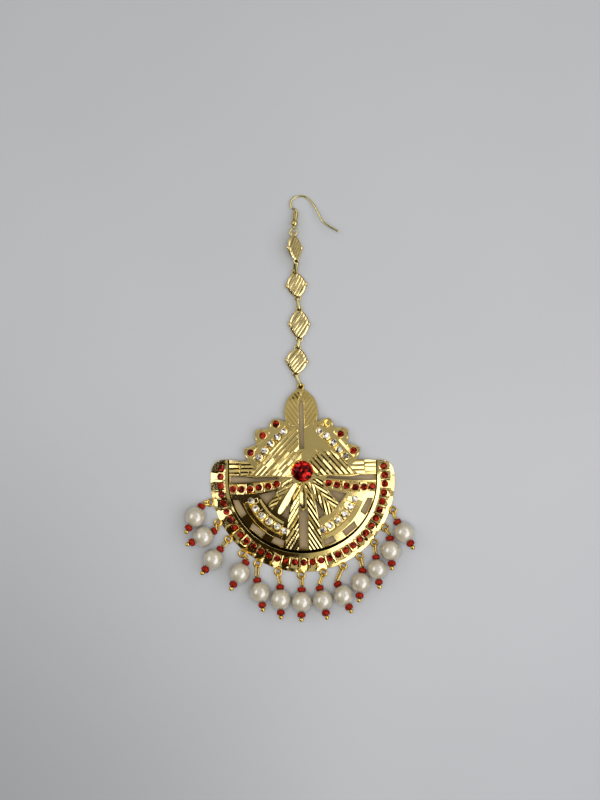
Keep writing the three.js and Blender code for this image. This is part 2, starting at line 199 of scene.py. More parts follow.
def tube(points, radius, sides, closed=False):
    """A round wire along points, with round ends where it is open."""
    points = [Vector(p) for p in points]
    count = len(points)
    tangents = []
    for i in range(count):
        before = points[i - 1] if closed or i else points[0]
        after = points[(i + 1) % count] if closed or i < count - 1 else points[-1]
        tangents.append((after - before).normalized())
    side = tangents[0].orthogonal().normalized()
    verts, rings = [], []

    def ring(centre, tangent, size):
        nonlocal side
        side = (side - tangent * side.dot(tangent)).normalized()
        other = tangent.cross(side)
        rings.append([len(verts) + k for k in range(sides)])
        for k in range(sides):
            a = 2 * math.pi * k / sides
            verts.append(centre + (side * math.cos(a) + other * math.sin(a)) * size)

    round_end = [] if closed else [(0.5, 0.85), (0.85, 0.5)]
    for lift, share in round_end[::-1]:
        ring(points[0] - tangents[0] * radius * lift, tangents[0], radius * share)
    for point, tangent in zip(points, tangents):
        ring(point, tangent, radius)
    for lift, share in round_end:
        ring(points[-1] + tangents[-1] * radius * lift, tangents[-1], radius * share)
    faces = [
        [a[k], a[(k + 1) % sides], b[(k + 1) % sides], b[k]]
        for a, b in sides_of(rings, closed=False) for k in range(sides)
    ]
    if closed:
        shift = closing_shift(verts, rings, sides)
        last, first = rings[-1], rings[0]
        for k in range(sides):
            j = (k + 1) % sides
            faces.append([last[k], last[j], first[(j + shift) % sides], first[(k + shift) % sides]])
    else:
        faces.append(rings[0][::-1])
        faces.append(rings[-1])
    return verts, faces


def closing_shift(verts, rings, sides):
    """How many sides the last ring of a closed wire is turned against the first."""
    last, first = rings[-1], rings[0]

    def gap(shift):
        return sum((verts[last[k]] - verts[first[(k + shift) % sides]]).length for k in range(sides))
    return min(range(sides), key=gap)


def laid_along(axis, place, spin=0.0):
    """A frame whose Z runs along a direction."""
    z = Vector(axis).normalized()
    m = z.to_track_quat("Z", "Y").to_matrix().to_4x4() @ Matrix.Rotation(spin, 4, "Z")
    m.translation = place
    return m


def oval(half_length, half_height, steps=40):
    """Points of a ring in XY, drawn out along X where it is longer than high."""
    shift = max(half_length - half_height, 0)
    points = []
    for i in range(steps):
        a = 2 * math.pi * (i + 0.5) / steps
        side = 1 if math.cos(a) > 0 else -1
        points.append(Vector((half_height * math.cos(a) + side * shift, half_height * math.sin(a), 0)))
    return points


def ring_between(start, end, half_height, roll):
    """Points of an upright oval ring whose long axis runs between two points, rolled about it."""
    along = end - start
    half_length = max(along.length / 2, half_height)
    along.normalize()
    across = UP.cross(along).normalized()
    upright = Matrix((along, along.cross(across), -across)).transposed().to_4x4()
    upright.translation = (start + end) / 2
    spin = Matrix.Rotation(-roll, 4, "X")
    return [upright @ spin @ p for p in oval(half_length, half_height)]


# ---- stamped sheets


def inside(points, polygon):
    """Which of the points are inside a polygon, as an array of truths."""
    x, y = points[:, 0], points[:, 1]
    result = np.zeros(len(points), bool)
    x1, y1 = polygon[-1]
    for x2, y2 in polygon:
        if y1 != y2:
            crosses = (y1 > y) != (y2 > y)
            at = (x2 - x1) * (y - y1) / (y2 - y1) + x1
            result ^= crosses & (x < at)
        x1, y1 = x2, y2
    return result


def distance_to(points, polygon, closed=True):
    """Each point's distance to a polygon's edge."""
    best = np.full(len(points), 1e9)
    for (x1, y1), (x2, y2) in sides_of(polygon, closed):
        dx, dy = x2 - x1, y2 - y1
        long = dx * dx + dy * dy
        if long < 1e-12:
            continue
        t = np.clip(((points[:, 0] - x1) * dx + (points[:, 1] - y1) * dy) / long, 0, 1)
        best = np.minimum(best, np.hypot(points[:, 0] - x1 - t * dx, points[:, 1] - y1 - t * dy))
    return best


def signed_area(polygon):
    return sum(a[0] * b[1] - b[0] * a[1] for a, b in sides_of(polygon)) / 2


def inset(polygon, depth):
    """The polygon drawn in by a depth, or let out where the depth is negative."""
    way = 1 if signed_area(polygon) > 0 else -1
    result = []
    count = len(polygon)
    for i in range(count):
        p = Vector(polygon[i])
        into = (p - Vector(polygon[i - 1])).normalized()
        out = (Vector(polygon[(i + 1) % count]) - p).normalized()
        n1 = Vector((-into.y, into.x)) * way
        n2 = Vector((-out.y, out.x)) * way
        lean = max(1 + n1.dot(n2), 0.35)
        result.append(tuple(p + (n1 + n2) / lean * depth))
    return result


def clipped(line, polygon):
    """The stretches of a polyline that run inside a polygon."""
    pieces = []
    for a, b in sides_of(line, closed=False):
        a, b = Vector(a), Vector(b)
        cuts = [0.0, 1.0]
        for c, d in sides_of(polygon):
            c, d = Vector(c), Vector(d)
            along, edge = b - a, d - c
            cross = along.x * edge.y - along.y * edge.x
            if abs(cross) > 1e-12:
                t = ((c - a).x * edge.y - (c - a).y * edge.x) / cross
                u = ((c - a).x * along.y - (c - a).y * along.x) / cross
                if 0 < t < 1 and 0 <= u <= 1:
                    cuts.append(t)
        cuts.sort()
        for t1, t2 in zip(cuts, cuts[1:]):
            middle = a.lerp(b, (t1 + t2) / 2)
            if t2 - t1 > 1e-6 and inside(np.array([middle]), polygon)[0]:
                pieces.append([tuple(a.lerp(b, t1)), tuple(a.lerp(b, t2))])
    return pieces


class Area:
    """A pressed part of a sheet: an outline, the height inside it, and the lines it creases on.
    Dark says where the sheet's second material, a painted shade, shows."""

    def __init__(self, outline, height, creases, wall, dark=None):
        self.outline = list(outline)
        self.height = height
        self.creases = creases
        self.inner = inset(self.outline, wall)
        self.dark = dark

    def mirrored(self):
        other = Area.__new__(Area)
        other.outline = mirror(self.outline)
        other.height = lambda x, y, f=self.height: f(-x, y)
        other.creases = [mirror(line) for line in self.creases]
        other.inner = mirror(self.inner)
        other.dark = self.dark and (lambda x, y, f=self.dark: f(-x, y))
        return other


class Plan:
    """The points and lines that a sheet is divided by."""

    def __init__(self, step):
        self.points = []
        self.edges = []
        self.step = step

    def line(self, points, closed=False):
        start = len(self.points)
        for a, b in sides_of(points, closed):
            a, b = Vector(a), Vector(b)
            cuts = max(1, math.ceil((b - a).length / self.step))
            self.points += [a.lerp(b, i / cuts) for i in range(cuts)]
        if not closed:
            self.points.append(Vector(points[-1]))
        count = len(self.points) - start
        self.edges += [(start + i, start + i + 1) for i in range(count - 1)]
        if closed:
            self.edges.append((start + count - 1, start))

    def area(self, area):
        self.line(area.outline, closed=True)
        self.line(area.inner, closed=True)
        for crease in area.creases:
            for stretch in clipped(crease, area.inner):
                self.line(stretch)


def divided(plan, outline, openings=()):
    """A plan's points as an array, its triangles inside an outline and outside the openings, and
    the middles of these."""
    points, _, triangles, *_ = delaunay_2d_cdt(plan.points, plan.edges, [], 0, 1e-4)
    flat = np.array([tuple(p) for p in points])
    middles = flat[np.array(triangles)].mean(axis=1)
    kept = inside(middles, outline)
    for opening in openings:
        kept &= ~inside(middles, opening)
    return flat, [list(t) for t, keep in zip(triangles, kept) if keep], middles[kept]


def grid_spots(outline, grid):
    """Points of a triangular grid over an outline's box."""
    low = np.min(np.array(outline), axis=0)
    high = np.max(np.array(outline), axis=0)
    rise = grid * 0.87
    rows = int((high[1] - low[1]) / rise) + 1
    columns = int((high[0] - low[0]) / grid) + 1
    return np.array([
        (low[0] + (column + 0.5 * (row % 2)) * grid, low[1] + row * grid * 0.87)
        for row in range(rows) for column in range(columns)
    ])


def stamped(piece, outline, openings, areas, base, under, step=1.2, grid=1.5, edge=(0.22, 0.14), tone=0):
    """A closed sheet with a pressed top: base gives its height, under the height of its back, and
    the edges of the sheet and of its openings are broken by a small chamfer."""
    plan = Plan(step)
    chamfer, drop = edge
    for loop, way in [(outline, 1)] + [(opening, -1) for opening in openings]:
        plan.line(loop, closed=True)
        plan.line(inset(loop, chamfer * way), closed=True)
    for area in areas:
        plan.area(area)
    spots = grid_spots(outline, grid)
    free = inside(spots, outline)
    for area in areas:
        free &= ~inside(spots, area.outline)
    plan.points += [Vector(p) for p in spots[free]]
    flat, faces, middles = divided(plan, outline, openings)
    # Faces that an area calls dark get the second material: painted shade.
    tones = [tone] * len(faces)
    for area in areas:
        if area.dark:
            for i in np.nonzero(inside(middles, area.inner))[0]:
                tones[i] = int(area.dark(*middles[i]))

    heights = np.array([base(x, y) for x, y in flat])
    for area in areas:
        near = inside(flat, area.inner) | (distance_to(flat, area.inner) < 2e-3)
        for i in np.nonzero(near)[0]:
            heights[i] = base(*flat[i]) + area.height(*flat[i])
    rim = distance_to(flat, outline)
    for opening in openings:
        rim = np.minimum(rim, distance_to(flat, opening))
    heights -= drop * np.clip(1 - rim / chamfer, 0, 1)
    backs = np.array([under(x, y) for x, y in flat])

    used = sorted({i for face in faces for i in face})
    place = {i: n for n, i in enumerate(used)}
    count = len(used)
    verts = [(*flat[i], heights[i]) for i in used] + [(*flat[i], backs[i]) for i in used]
    top = facing_up(verts, [[place[i] for i in face] for face in faces])
    sides = dict.fromkeys(side for face in top for side in sides_of(face))
    walls = [[b, a, a + count, b + count] for a, b in sides if (b, a) not in sides]
    backs = [[i + count for i in face[::-1]] for face in top]
    piece.add(verts, top + backs + walls, tones=tones + [tone] * (len(backs) + len(walls)))


def facing_up(verts, faces):
    """The triangles, each turned round where it would face down."""
    def up(face):
        (x1, y1, _), (x2, y2, _), (x3, y3, _) = (verts[i] for i in face)
        return (x2 - x1) * (y3 - y1) - (x3 - x1) * (y2 - y1) > 0
    return [face if up(face) else face[::-1] for face in faces]


# ---- patterns on the fan


def mirror(points):
    return [(-x, y) for x, y in points]


def rounded(points, share=0.25, closed=True):
    """A polygon with its corners cut back by a share of each side."""
    made = []
    count = len(points)
    for i in range(count if closed else count - 1):
        a, b = Vector(points[i]), Vector(points[(i + 1) % count])
        made += [tuple(a.lerp(b, share)), tuple(a.lerp(b, 1 - share))]
    return made if closed else [points[0], *made[1:-1], points[-1]]


def wander(x, y, seed, size=4.0):
    """A smooth random value between about -1 and 1."""
    return noise.noise(Vector((x / size, y / size, seed)))


def axes_of(degrees):
    """The direction of a heading, and the direction to its left."""
    a = math.radians(degrees)
    return Vector((math.cos(a), math.sin(a))), Vector((-math.sin(a), math.cos(a)))


def middle_of(outline):
    return sum((Vector(p) for p in outline), Vector((0, 0))) / len(outline)


def long_line(centre, along, reach=60):
    """A crease through a place, both ways along a direction."""
    return [tuple(centre - along * reach), tuple(centre + along * reach)]


# What all flutes share: the walls round them, half the length of a joint between two cuts, how
# much the joints slant, and the level below which a groove gets painted shade.
FLUTE = {"wall": 0.15, "joint": 0.12, "slant": 0.6, "dark": -0.04}


def flutes(outline, heading, pitch, rise, seed, ridge=0.4, phase=0.0, groove=0.36, depth=0.3,
           fade=None, length=(3.0, 9.0), shade=None):
    """Parallel cut facets. Past a narrow groove each one climbs to its ridge, at a share of the
    pitch, and falls to the next groove. Each was cut in lengths, no two of them as deep. The second
    material, painted shade, shows in the grooves below a level, which a shade moves from place to place."""
    along, across = axes_of(heading)
    slit = groove / pitch
    top = slit + (1 - slit) * ridge
    joint, slant = FLUTE["joint"], FLUTE["slant"]

    def measure(x, y):
        return (across.x * x + across.y * y - phase) / pitch

    def run(x, y):
        return along.x * x + along.y * y

    reach = [measure(x, y) for x, y in outline]
    first, last = math.floor(min(reach)) - 1, math.ceil(max(reach)) + 1
    low, high = min(run(x, y) for x, y in outline), max(run(x, y) for x, y in outline)
    draw = random.Random(seed)
    lengths = {}
    for n in range(first, last + 1):
        at = low - draw.uniform(0, length[1])
        lengths[n] = []
        while at < high:
            lengths[n].append((at, draw.uniform(0.4, 1.45)))
            at += draw.uniform(*length)

    def strength(n, place):
        pieces = lengths[clamp(n, first, last)]
        value = pieces[0][1]
        for start, own in pieces[1:]:
            value += (own - value) * clamp((place - start) / (2 * joint) + 0.5)
        return value

    def lift(x, y):
        turns = measure(x, y)
        whole = math.floor(turns + 1e-6)
        share = turns - whole
        faded = fade(x, y) if fade else 1.0
        if share < slit:
            return -faded * depth * (1 - abs(2 * share / slit - 1))
        tent = (share - slit) / (top - slit) if share < top else (1 - share) / (1 - top)
        own = strength(whole, run(x, y) + slant * share * pitch)
        return faded * rise * tent * own * (1 + 0.25 * wander(x, y, seed + whole * 0.37))

    middle = run(*middle_of(outline))
    creases = []
    for n in range(first, last + 1):
        for share in (0, slit / 2, slit, top):
            creases.append(long_line(across * ((n + share) * pitch + phase) + along * middle, along))
        for start, _ in lengths[n][1:]:
            for shift in (-joint, joint):
                at = start + shift
                near = along * (at - slant * slit * pitch) + across * ((n + slit) * pitch + phase)
                far = along * (at - slant * pitch) + across * ((n + 1) * pitch + phase)
                creases.append([tuple(near), tuple(far)])

    # Painted shade: groove faces below this level get the second material.
    def dark(x, y):
        return lift(x, y) < FLUTE["dark"] + (shade(x, y) if shade else 0)

    return Area(outline, lift, creases, FLUTE["wall"], dark)


def cuts(outline, heading, pitch, depth, width, swell, phase):
    """A face that swells a little between narrow parallel grooves."""
    along, across = axes_of(heading)

    def lift(x, y):
        value = across.x * x + across.y * y - phase
        away = abs(value - round(value / pitch) * pitch)
        return swell * away * 2 / pitch - depth * max(0, 1 - away / width)

    reach = [(across.x * x + across.y * y - phase) / pitch for x, y in outline]
    middle = middle_of(outline)
    creases = []
    for n in range(math.floor(min(reach)), math.ceil(max(reach)) + 1):
        for shift in (-width, 0, width, pitch / 2):
            centre = across * (n * pitch + shift + phase) + along * middle.dot(along)
            creases.append(long_line(centre, along))
    return Area(outline, lift, creases, FLUTE["wall"])


def strip(line, width):
    """The outline of a band of one width along a line."""
    left, right = [], []
    count = len(line)
    for i in range(count):
        before = Vector(line[max(i - 1, 0)])
        after = Vector(line[min(i + 1, count - 1)])
        side = (after - before).normalized()
        normal = Vector((-side.y, side.x)) * width / 2
        left.append(tuple(Vector(line[i]) + normal))
        right.append(tuple(Vector(line[i]) - normal))
    return right + left[::-1]


def band(line, width, height):
    """A raised half-round band along a line."""
    def lift(x, y):
        away = distance_to(np.array([(x, y)]), line, closed=False)[0] / (width / 2)
        return height * math.sqrt(max(0, 1 - away * away))

    creases = []
    for share in (0.88, 0.65, 0.35, 0):
        outline = strip(line, width * share)
        half = len(outline) // 2
        creases += [outline[:half], outline[half:]] if share else [outline[:half]]
    return Area(strip(line, width), lift, creases, 0.08)


def lean_band(line, width, slope, seed, uneven):
    """A raised band along an arc that falls away outwards, in flats that are not all as steep."""
    draw = random.Random(seed)
    middle = math.hypot(*line[0])
    turns = [math.atan2(y, x) for x, y in line]
    low, high = min(turns), max(turns)
    flats = []
    at = low
    while at < high:
        flats.append((at, slope * (1 + draw.uniform(-uneven, uneven))))
        at += math.radians(draw.uniform(5, 11))

    def lift(x, y):
        turn = math.atan2(y, x)
        own = [fall for start, fall in flats if start <= turn] or [slope]
        return 0.3 - own[-1] * (math.hypot(x, y) - middle)

    creases = []
    for start, _ in flats[1:]:
        for shift in (-0.004, 0.004):
            a = math.degrees(start + shift)
            creases.append([polar(middle - width, a), polar(middle + width, a)])
    return Area(strip(line, width), lift, creases, 0.08)


def ramp(outline, height, azimuth, slope):
    """A flat part that falls away to one side."""
    away, _ = axes_of(azimuth)
    middle = middle_of(outline)

    def lift(x, y):
        own = slope * (1 + 0.2 * wander(x, y, 61, 3))
        return height - own * (away.dot(Vector((x, y)) - middle))

    return Area(outline, lift, [], 0.08)


def boss(outline, border, height):
    """A raised plate with a narrow bevel all round, more level than the dome that it is on."""
    x0, y0 = (sum(p[k] for p in outline) / len(outline) for k in (0, 1))
    return Area(outline, lambda x, y: height + 0.6 * (dome(x0, y0) - dome(x, y)), [], border)


def seat_row(outline, places, floor, bar, seed):
    """A shallow channel for a row of stones: a panel for each stone, which leans its own way, and
    a small bar between each two."""
    draw = random.Random(seed)
    lean = 0.12
    panels = [(Vector(p), draw.uniform(-lean, lean), draw.uniform(-lean, lean)) for p in places]
    ridges = []
    for a, b in zip(places, places[1:]):
        a, b = Vector(a), Vector(b)
        side = (b - a).normalized()
        ridges.append(((a + b) / 2, side, Vector((-side.y, side.x)), draw.uniform(0.2, 1.0)))

    def lift(x, y):
        p = Vector((x, y))
        middle, lean_x, lean_y = min(panels, key=lambda panel: (panel[0] - p).length)
        value = floor + lean_x * (x - middle.x) + lean_y * (y - middle.y)
        for middle, side, normal, high in ridges:
            away = abs((p - middle).dot(side))
            if away < bar and abs((p - middle).dot(normal)) < 3:
                value = max(value, floor + (0.25 * high - floor) * (1 - away / bar))
        return value

    creases = []
    for middle, side, normal, _ in ridges:
        for shift in (-bar, 0, bar):
            creases.append(long_line(middle + side * shift, normal, 2.6))
    return Area(outline, lift, creases, 0.22)


def arc(radius, start, end, steps):
    """Points of an arc about the rim's centre, in degrees from +X."""
    return [polar(radius, start + (end - start) * i / steps) for i in range(steps + 1)]


def dome(x, y):
    """The height of the fan's outer face before it is pressed."""
    share = min(math.hypot(x, y) / DOME["foot_radius"], 1)
    return DOME["crown"] - (DOME["crown"] - DOME["foot"]) * share * share


# ---- the fan

FAN_GAP = {"side": 0.5, "foot": 1.3}

# Half of the crown's edge, from the leaf's tip down to the arm, as in the frame. The first points
# are the leaf's.
LEAF_POINTS = 6
CROWN_EDGE = [
    (0, 38.1), (2.2, 37.7), (5.6, 34.2), (6.8, 30.6), (7.1, 27.3), (6.7, 24.5),
    (9.3, 25.7), (12.0, 25.9), (13.0, 24.3), (13.7, 21.9),
    (18.4, 21.8), (19.5, 20.7), (19.6, 17.8), (18.9, 15.4),
    (20.9, 14.8), (24.4, 13.4), (24.1, 11.2), (22.8, 8.5),
]

# The openings of one half, and those on the axis, as in the frame.
OPENINGS = [
    [(33, 2.1), (24, 1.9), (20, 1.2), (11, 1.9), (9.6, 0.9), (15.5, 0.4), (23.5, -0.3), (33, -0.5)],
    [(18.3, -5.6), (10.1, -3.8), (15.2, -9.8)],
    [(4.9, -7.3), (8.9, -14.4), (6.4, -16.1)],
    [(27.0, -7.7), (29.2, -7.9), (28.4, -12.0), (25.8, -15.1), (23.8, -13.4)],
    [(21.2, -17.3), (22.5, -19.8), (17.6, -23.8), (16.0, -21.6)],
    [(12.2, -23.2), (13.6, -25.6), (8.8, -28.2), (8.1, -25.0)],
]
AXIS_OPENINGS = [
    [(-0.9, 13.3), (0.9, 13.3), (0.7, 32.0), (0, 33.6), (-0.7, 32.0)],
    [(-1.75, -28.4), (1.75, -28.4), (1.75, -11.4), (0, -12.9), (-1.75, -11.4)],
]

# Where the small stones sit on the right half.
CROWN_STONES = [(10.6, 23.8), (16.2, 19.1), (21.4, 12.1)]
UPPER_ROW = [(7.6, 20.5), (10.4, 18.5), (13.2, 15.8), (15.7, 12.9), (18.1, 10.0)]
BAR_ROW = [(29.1, -3.1), (25.6, -3.2), (22.0, -3.2), (18.3, -2.5), (14.3, -2.0), (10.8, -1.1)]
LOWER_ROW = [(21.7, -8.0), (19.8, -11.4), (17.4, -14.3), (14.5, -16.8), (11.0, -18.9), (8.0, -20.8)]

LEAF = [
    (1.2, 21.9), (1.2, 32.2), (0.9, 34.0), (0.2, 35.0), (0.2, 37.4), (2.1, 37.0), (5.1, 33.9),
    (6.4, 30.4), (6.7, 27.2), (6.3, 24.6), (4.4, 22.8), (3.2, 23.0),
]
CHEVRON = [
    (1.3, 20.8), (2.6, 22.6), (3.5, 21.9), (19.0, 6.4), (19.2, 5.3), (22.4, 2.5), (12.0, 2.4),
    (5.4, 1.6), (3.6, 1.6), (4.1, 4.2), (3.4, 6.4), (2.0, 7.6), (0.15, 8.1), (0.15, 12.5), (1.3, 13.0),
]
INNER_ARM = [(19.6, 5.6), (22.6, 8.2), (25.6, 8.2), (26.0, 2.5), (22.8, 2.6)]
OUTER_ARM = [(26.0, 8.2), (30.7, 8.2), (30.7, 2.5), (26.4, 2.5)]
UPPER_CHANNEL = [(4.7, 21.4), (6.6, 23.2), (20.7, 9.4), (18.4, 7.3)]
BAR_CHANNEL = [
    (9.0, -0.2), (15.5, -0.2), (23.5, -0.9), (30.7, -1.1), (30.7, -5.5), (25.0, -5.3),
    (18.3, -4.9), (9.6, -3.0),
]
CUSPS = [
    [(7.2, 24.3), (9.3, 25.4), (11.8, 25.6), (12.7, 24.2), (13.3, 22.1), (10.9, 21.7), (8.0, 23.3)],
    [(14.2, 21.5), (18.3, 21.5), (19.2, 20.5), (19.3, 17.8), (18.6, 15.6), (17.7, 15.5), (13.3, 19.9)],
    [(19.5, 15.0), (20.8, 14.5), (24.1, 13.2), (23.8, 11.3), (22.7, 9.2), (18.5, 14.1)],
]
INNER_FROND = [
    (0.8, -0.3), (2.0, -0.2), (3.0, -3.4), (6.3, -15.8), (8.0, -28.4), (7.9, -29.4), (4.7, -29.9),
    (2.0, -29.3), (2.0, -11.6), (1.5, -10.4), (1.55, -5.4), (1.0, -2.6),
]
OUTER_FROND_LOW = [
    (2.2, -0.4), (3.2, -0.9), (4.3, -1.4), (12.8, -12.5), (10.6, -14.6), (9.2, -14.2), (5.2, -6.9),
]
OUTER_FROND_HIGH = [(3.6, -0.2), (4.9, -0.8), (6.6, -1.4), (10.0, -4.4), (14.9, -10.1), (13.0, -11.9)]
STRUT = [(4.4, 1.3), (5.6, 1.2), (8.8, 0.6), (8.8, -3.0), (6.9, -1.6), (4.8, -0.7), (4.1, 0.2)]
LOBE = [
    (-2.0, -1.3), (-3.9, -5.1), (-6.5, -9.5), (-8.9, -13.4), (-10.1, -13.9), (-10.8, -12.6), (-8.4, -8.2),
    (-5.7, -4.0), (-3.2, -0.6),
]
BLADE = [
    (0, -0.2), (0.75, -2.6), (1.35, -5.5), (1.3, -10.2), (0, -12.7), (-1.3, -10.2), (-1.35, -5.5),
    (-0.75, -2.6),
]

# Where the painted shade on the back of that leaf ends, as a share of its half width.
BLADE_BACK = 0.75


def downness(degrees):
    """How near a direction from the rim's centre is to straight down, from 0 to 1."""
    return max(0.0, -math.sin(math.radians(degrees))) ** 2


def rim_inner(degrees):
    """The radius of the rim's inner edge, which comes in a little at the foot."""
    return RIM["inner"] - 0.65 * downness(degrees)


def fan_reach(degrees):
    """The radius of the fan's edge under the rim: the gap is widest at the foot."""
    low = downness(degrees)
    return rim_inner(degrees) - FAN_GAP["side"] - (FAN_GAP["foot"] - FAN_GAP["side"]) * low


def horseshoe(reach, steps=70):
    """Points of an arc whose radius depends on the direction, from the right round to the left."""
    turns = [-180 * i / steps for i in range(steps + 1)]
    return [polar(reach(turn), turn) for turn in turns]


def fan_outline():
    """The fan's edge: a smooth leaf, the cusps, the arms and the D that the rim holds."""
    leaf, cusps = CROWN_EDGE[:LEAF_POINTS], CROWN_EDGE[LEAF_POINTS:]
    crown = [tuple(p) for p in smooth_line(leaf, 4)[1:]] + rounded(cusps, 0.12, closed=False)
    reach = fan_reach(0)
    held = [(reach, 8.5)] + horseshoe(fan_reach) + [(-reach, 8.5)]
    held = [turned(p, -ASKEW) for p in held]
    return mirror(crown)[::-1] + [CROWN_EDGE[0]] + crown + held


def kite(x, y):
    """How far the right chevron's flutes have risen out of the plain field above them."""
    return clamp(min((7.0 - (y - x)) / 4.0, (13.4 - y) / 3.0))


def broken_shade(x, y):
    """Grooves whose painted shade shows in stretches only."""
    return 0.13 * wander(x, y, 71, 2.6) - 0.12


def foot_shade(x, y):
    """How much more of a flute gets painted shade towards the rim's foot."""
    return 0.15 * clamp((-15.0 - y) / 9.0)


def blade_half(y):
    """Half the width of the leaf on the axis."""
    return max(1.35 * (1 - max(0, (abs(y + 7.8) - 2.3) / 4.2)), 0.05)


def blade_height(x, y):
    """A leaf that climbs from its left edge to a ridge on the axis and falls off steeply behind it."""
    share = x / blade_half(y)
    return 0.1 + 0.6 * max(1 + share if share < 0 else 1 - share / BLADE_BACK, 0)


def blade():
    """The leaf on the axis, over the slot at the fan's foot. Behind its ridge it has painted shade."""
    turns = [-1.5 - i * 0.9 for i in range(12)]
    creases = [[(share * blade_half(y), y) for y in turns] for share in (0, BLADE_BACK)]

    # Painted shade on the leaf's back, behind the ridge.
    def dark(x, y):
        return 0 < x / blade_half(y) < BLADE_BACK

    return Area(BLADE, blade_height, creases, 0.06, dark)


def fan_areas():
    """Every pressed part of the fan. What is given for the right half is mirrored to the left."""
    lower_channel = arc(20.2, -19.5, -69, 14) + arc(24.2, -69, -19.5, 14)
    channels = [(UPPER_CHANNEL, UPPER_ROW, 41), (BAR_CHANNEL, BAR_ROW, 42), (lower_channel, LOWER_ROW, 43)]
    both = [cuts(LEAF, 55, 1.5, 0.13, 0.14, 0.1, phase=0.3)]
    both += [seat_row(outline, places, -0.2, 0.35, seed) for outline, places, seed in channels]
    both += [
        band([(12.3, 1.95), (19.8, 1.75), (23.6, 2.2)], 0.6, 0.2),
        flutes(STRUT, -35, 1.3, 0.24, 5),
        lean_band(arc(19.4, -23, -65, 16), 1.0, -0.36, 53, 0.25),
    ]
    both += [boss(cusp, 0.3, 0.05) for cusp in CUSPS]

    frond = {"heading": -58, "pitch": 1.4, "rise": 0.3, "seed": 4, "ridge": 0.42, "groove": 0.46}
    frond["depth"] = 0.35
    right_arm = {"heading": 0, "pitch": 1.9, "rise": 0.3, "ridge": 0.62}
    left_arm = {"heading": 0, "ridge": 0.38, "groove": 0.24, "depth": 0.25, "length": (1.5, 4.0)}
    left_arm["shade"] = broken_shade
    return both + [area.mirrored() for area in both] + [
        flutes(INNER_FROND, **frond),
        flutes(INNER_FROND, **frond, shade=foot_shade).mirrored(),
        flutes(CHEVRON, -49, 1.75, 0.24, 6, ridge=0.36, phase=0.4, groove=0.27, depth=0.26, fade=kite,
               length=(2.5, 5.5), shade=broken_shade),
        flutes(mirror(CHEVRON), 47, 1.6, 0.23, 7, ridge=0.64, phase=0.2, groove=0.24, depth=0.24,
               length=(2.5, 6.5), shade=broken_shade),
        flutes(INNER_ARM, seed=2, phase=0.3, **right_arm),
        flutes(OUTER_ARM, seed=3, phase=1.25, **right_arm),
        flutes(mirror(INNER_ARM), pitch=1.6, rise=0.26, seed=12, phase=0.3, **left_arm),
        flutes(mirror(OUTER_ARM), pitch=1.9, rise=0.3, seed=13, phase=1.25, **left_arm),
        lean_band(arc(25.55, -20, -69, 16), 2.1, 0.42, 51, 0.15),
        lean_band(arc(25.55, -111, -160, 16), 2.1, 0.44, 52, 0.25),
        flutes(OUTER_FROND_LOW, -78, 1.4, 0.3, 8),
        flutes(OUTER_FROND_HIGH, -33, 1.4, 0.3, 9),
        flutes(mirror(OUTER_FROND_HIGH), 205, 1.4, 0.3, 10, ridge=0.6),
        ramp(rounded(LOBE), 0.5, -28, 0.36),
        ramp(strip([(15.6, 16.9), (18.6, 13.2), (21.8, 9.7)], 1.1), 0.15, 41, 0.4),
        blade(),
    ]


def fan_sheet(material, painted_shade_material):
    piece = Piece()
    openings = OPENINGS + [mirror(opening) for opening in OPENINGS] + AXIS_OPENINGS

    def back(x, y):
        return dome(x, y) - DOME["sheet"]

    stamped(piece, fan_outline(), openings, fan_areas(), dome, back, edge=(0.07, 0.14))
    piece.verts = [Vector((*turned((v.x, v.y)), v.z)) for v in piece.verts]
    piece.make("fan_sheet", material, ["fan_plate"], sharp=11, second=painted_shade_material)


# ---- the rim


def stone_turns():
    """The angle of each rim stone, in degrees from +X."""
    first, last, count = RIM_STONES["first"], RIM_STONES["last"], RIM_STONES["count"]
    return [first + (last - first) * i / (count - 1) for i in range(count)]


def rim_outline():
    outer, ends, corner = RIM["outer"], RIM["ends"], RIM["corner"]
    side = math.sqrt(outer**2 - ends**2)
    start = math.degrees(math.asin((ends - corner) / outer))
    shoulder = []
    for i in range(9):
        t = i / 8
        a = Vector((side - corner, ends)).lerp(Vector((side, ends)), t)
        b = Vector((side, ends)).lerp(Vector((outer * math.cos(math.radians(start)), ends - corner)), t)
        shoulder.append(tuple(a.lerp(b, t)))
    edge = [(RIM["inner"], ends)] + shoulder + arc(outer, start, -180 - start, 130)[1:-1]
    edge += mirror(shoulder)[::-1] + [(-RIM["inner"], ends)]
    return edge + horseshoe(rim_inner)[::-1]


# The directions that the rim spans, in degrees from +X, with some to spare.
RIM_SWEEP = (-196.0, 16.0)


def bevel_facets():
    """The cuts round the rim's outer edge: the middle and the half width of each, in degrees, how
    far out it starts and how steep it is."""
    draw = random.Random(11)
    facets = []
    at, end_at = RIM_SWEEP
    while at < end_at:
        wide = draw.uniform(5, 11)
        least, most = next(slopes for end, *slopes in BEVEL_SLOPES if at < end)
        start = 37.1 + draw.uniform(-0.25, 0.25)
        facets.append((at + wide / 2, wide / 2, start, draw.uniform(least, most)))
        at += wide
    return facets


def rim_bars():
    """The bars between the rim's stones: the angle, the width and the height of each. They stand
    proud along the foot and are hardly there at the sides."""
    draw = random.Random(31)
    turns = stone_turns()
    pitch = turns[1] - turns[0]
    bars = []
    for turn in [turn - pitch / 2 for turn in turns + [turns[-1] + pitch]]:
        proud = clamp(1.6 - abs(turn + 105) / 36, 0.3)
        place, wide = turn + draw.uniform(-0.5, 0.5), draw.uniform(1.0, 1.5)
        bars.append((place, wide, proud * draw.uniform(0.5, 1.2)))
    return bars


def rim_panels():
    """The rim's face at each stone: how much it falls outwards and how much to its side. At the
    lower left the panels were pressed less evenly."""
    draw = random.Random(17)
    panels = []
    for turn in stone_turns():
        rough = 0.14 if -160 < turn < -105 else 0.0
        level = 0.1 if turn > -60 else 0.0
        falls = draw.uniform(0.1 - rough - level, 0.26 + rough - level)
        panels.append((turn, falls, draw.uniform(-0.12 - rough, 0.12 + rough)))
    return panels


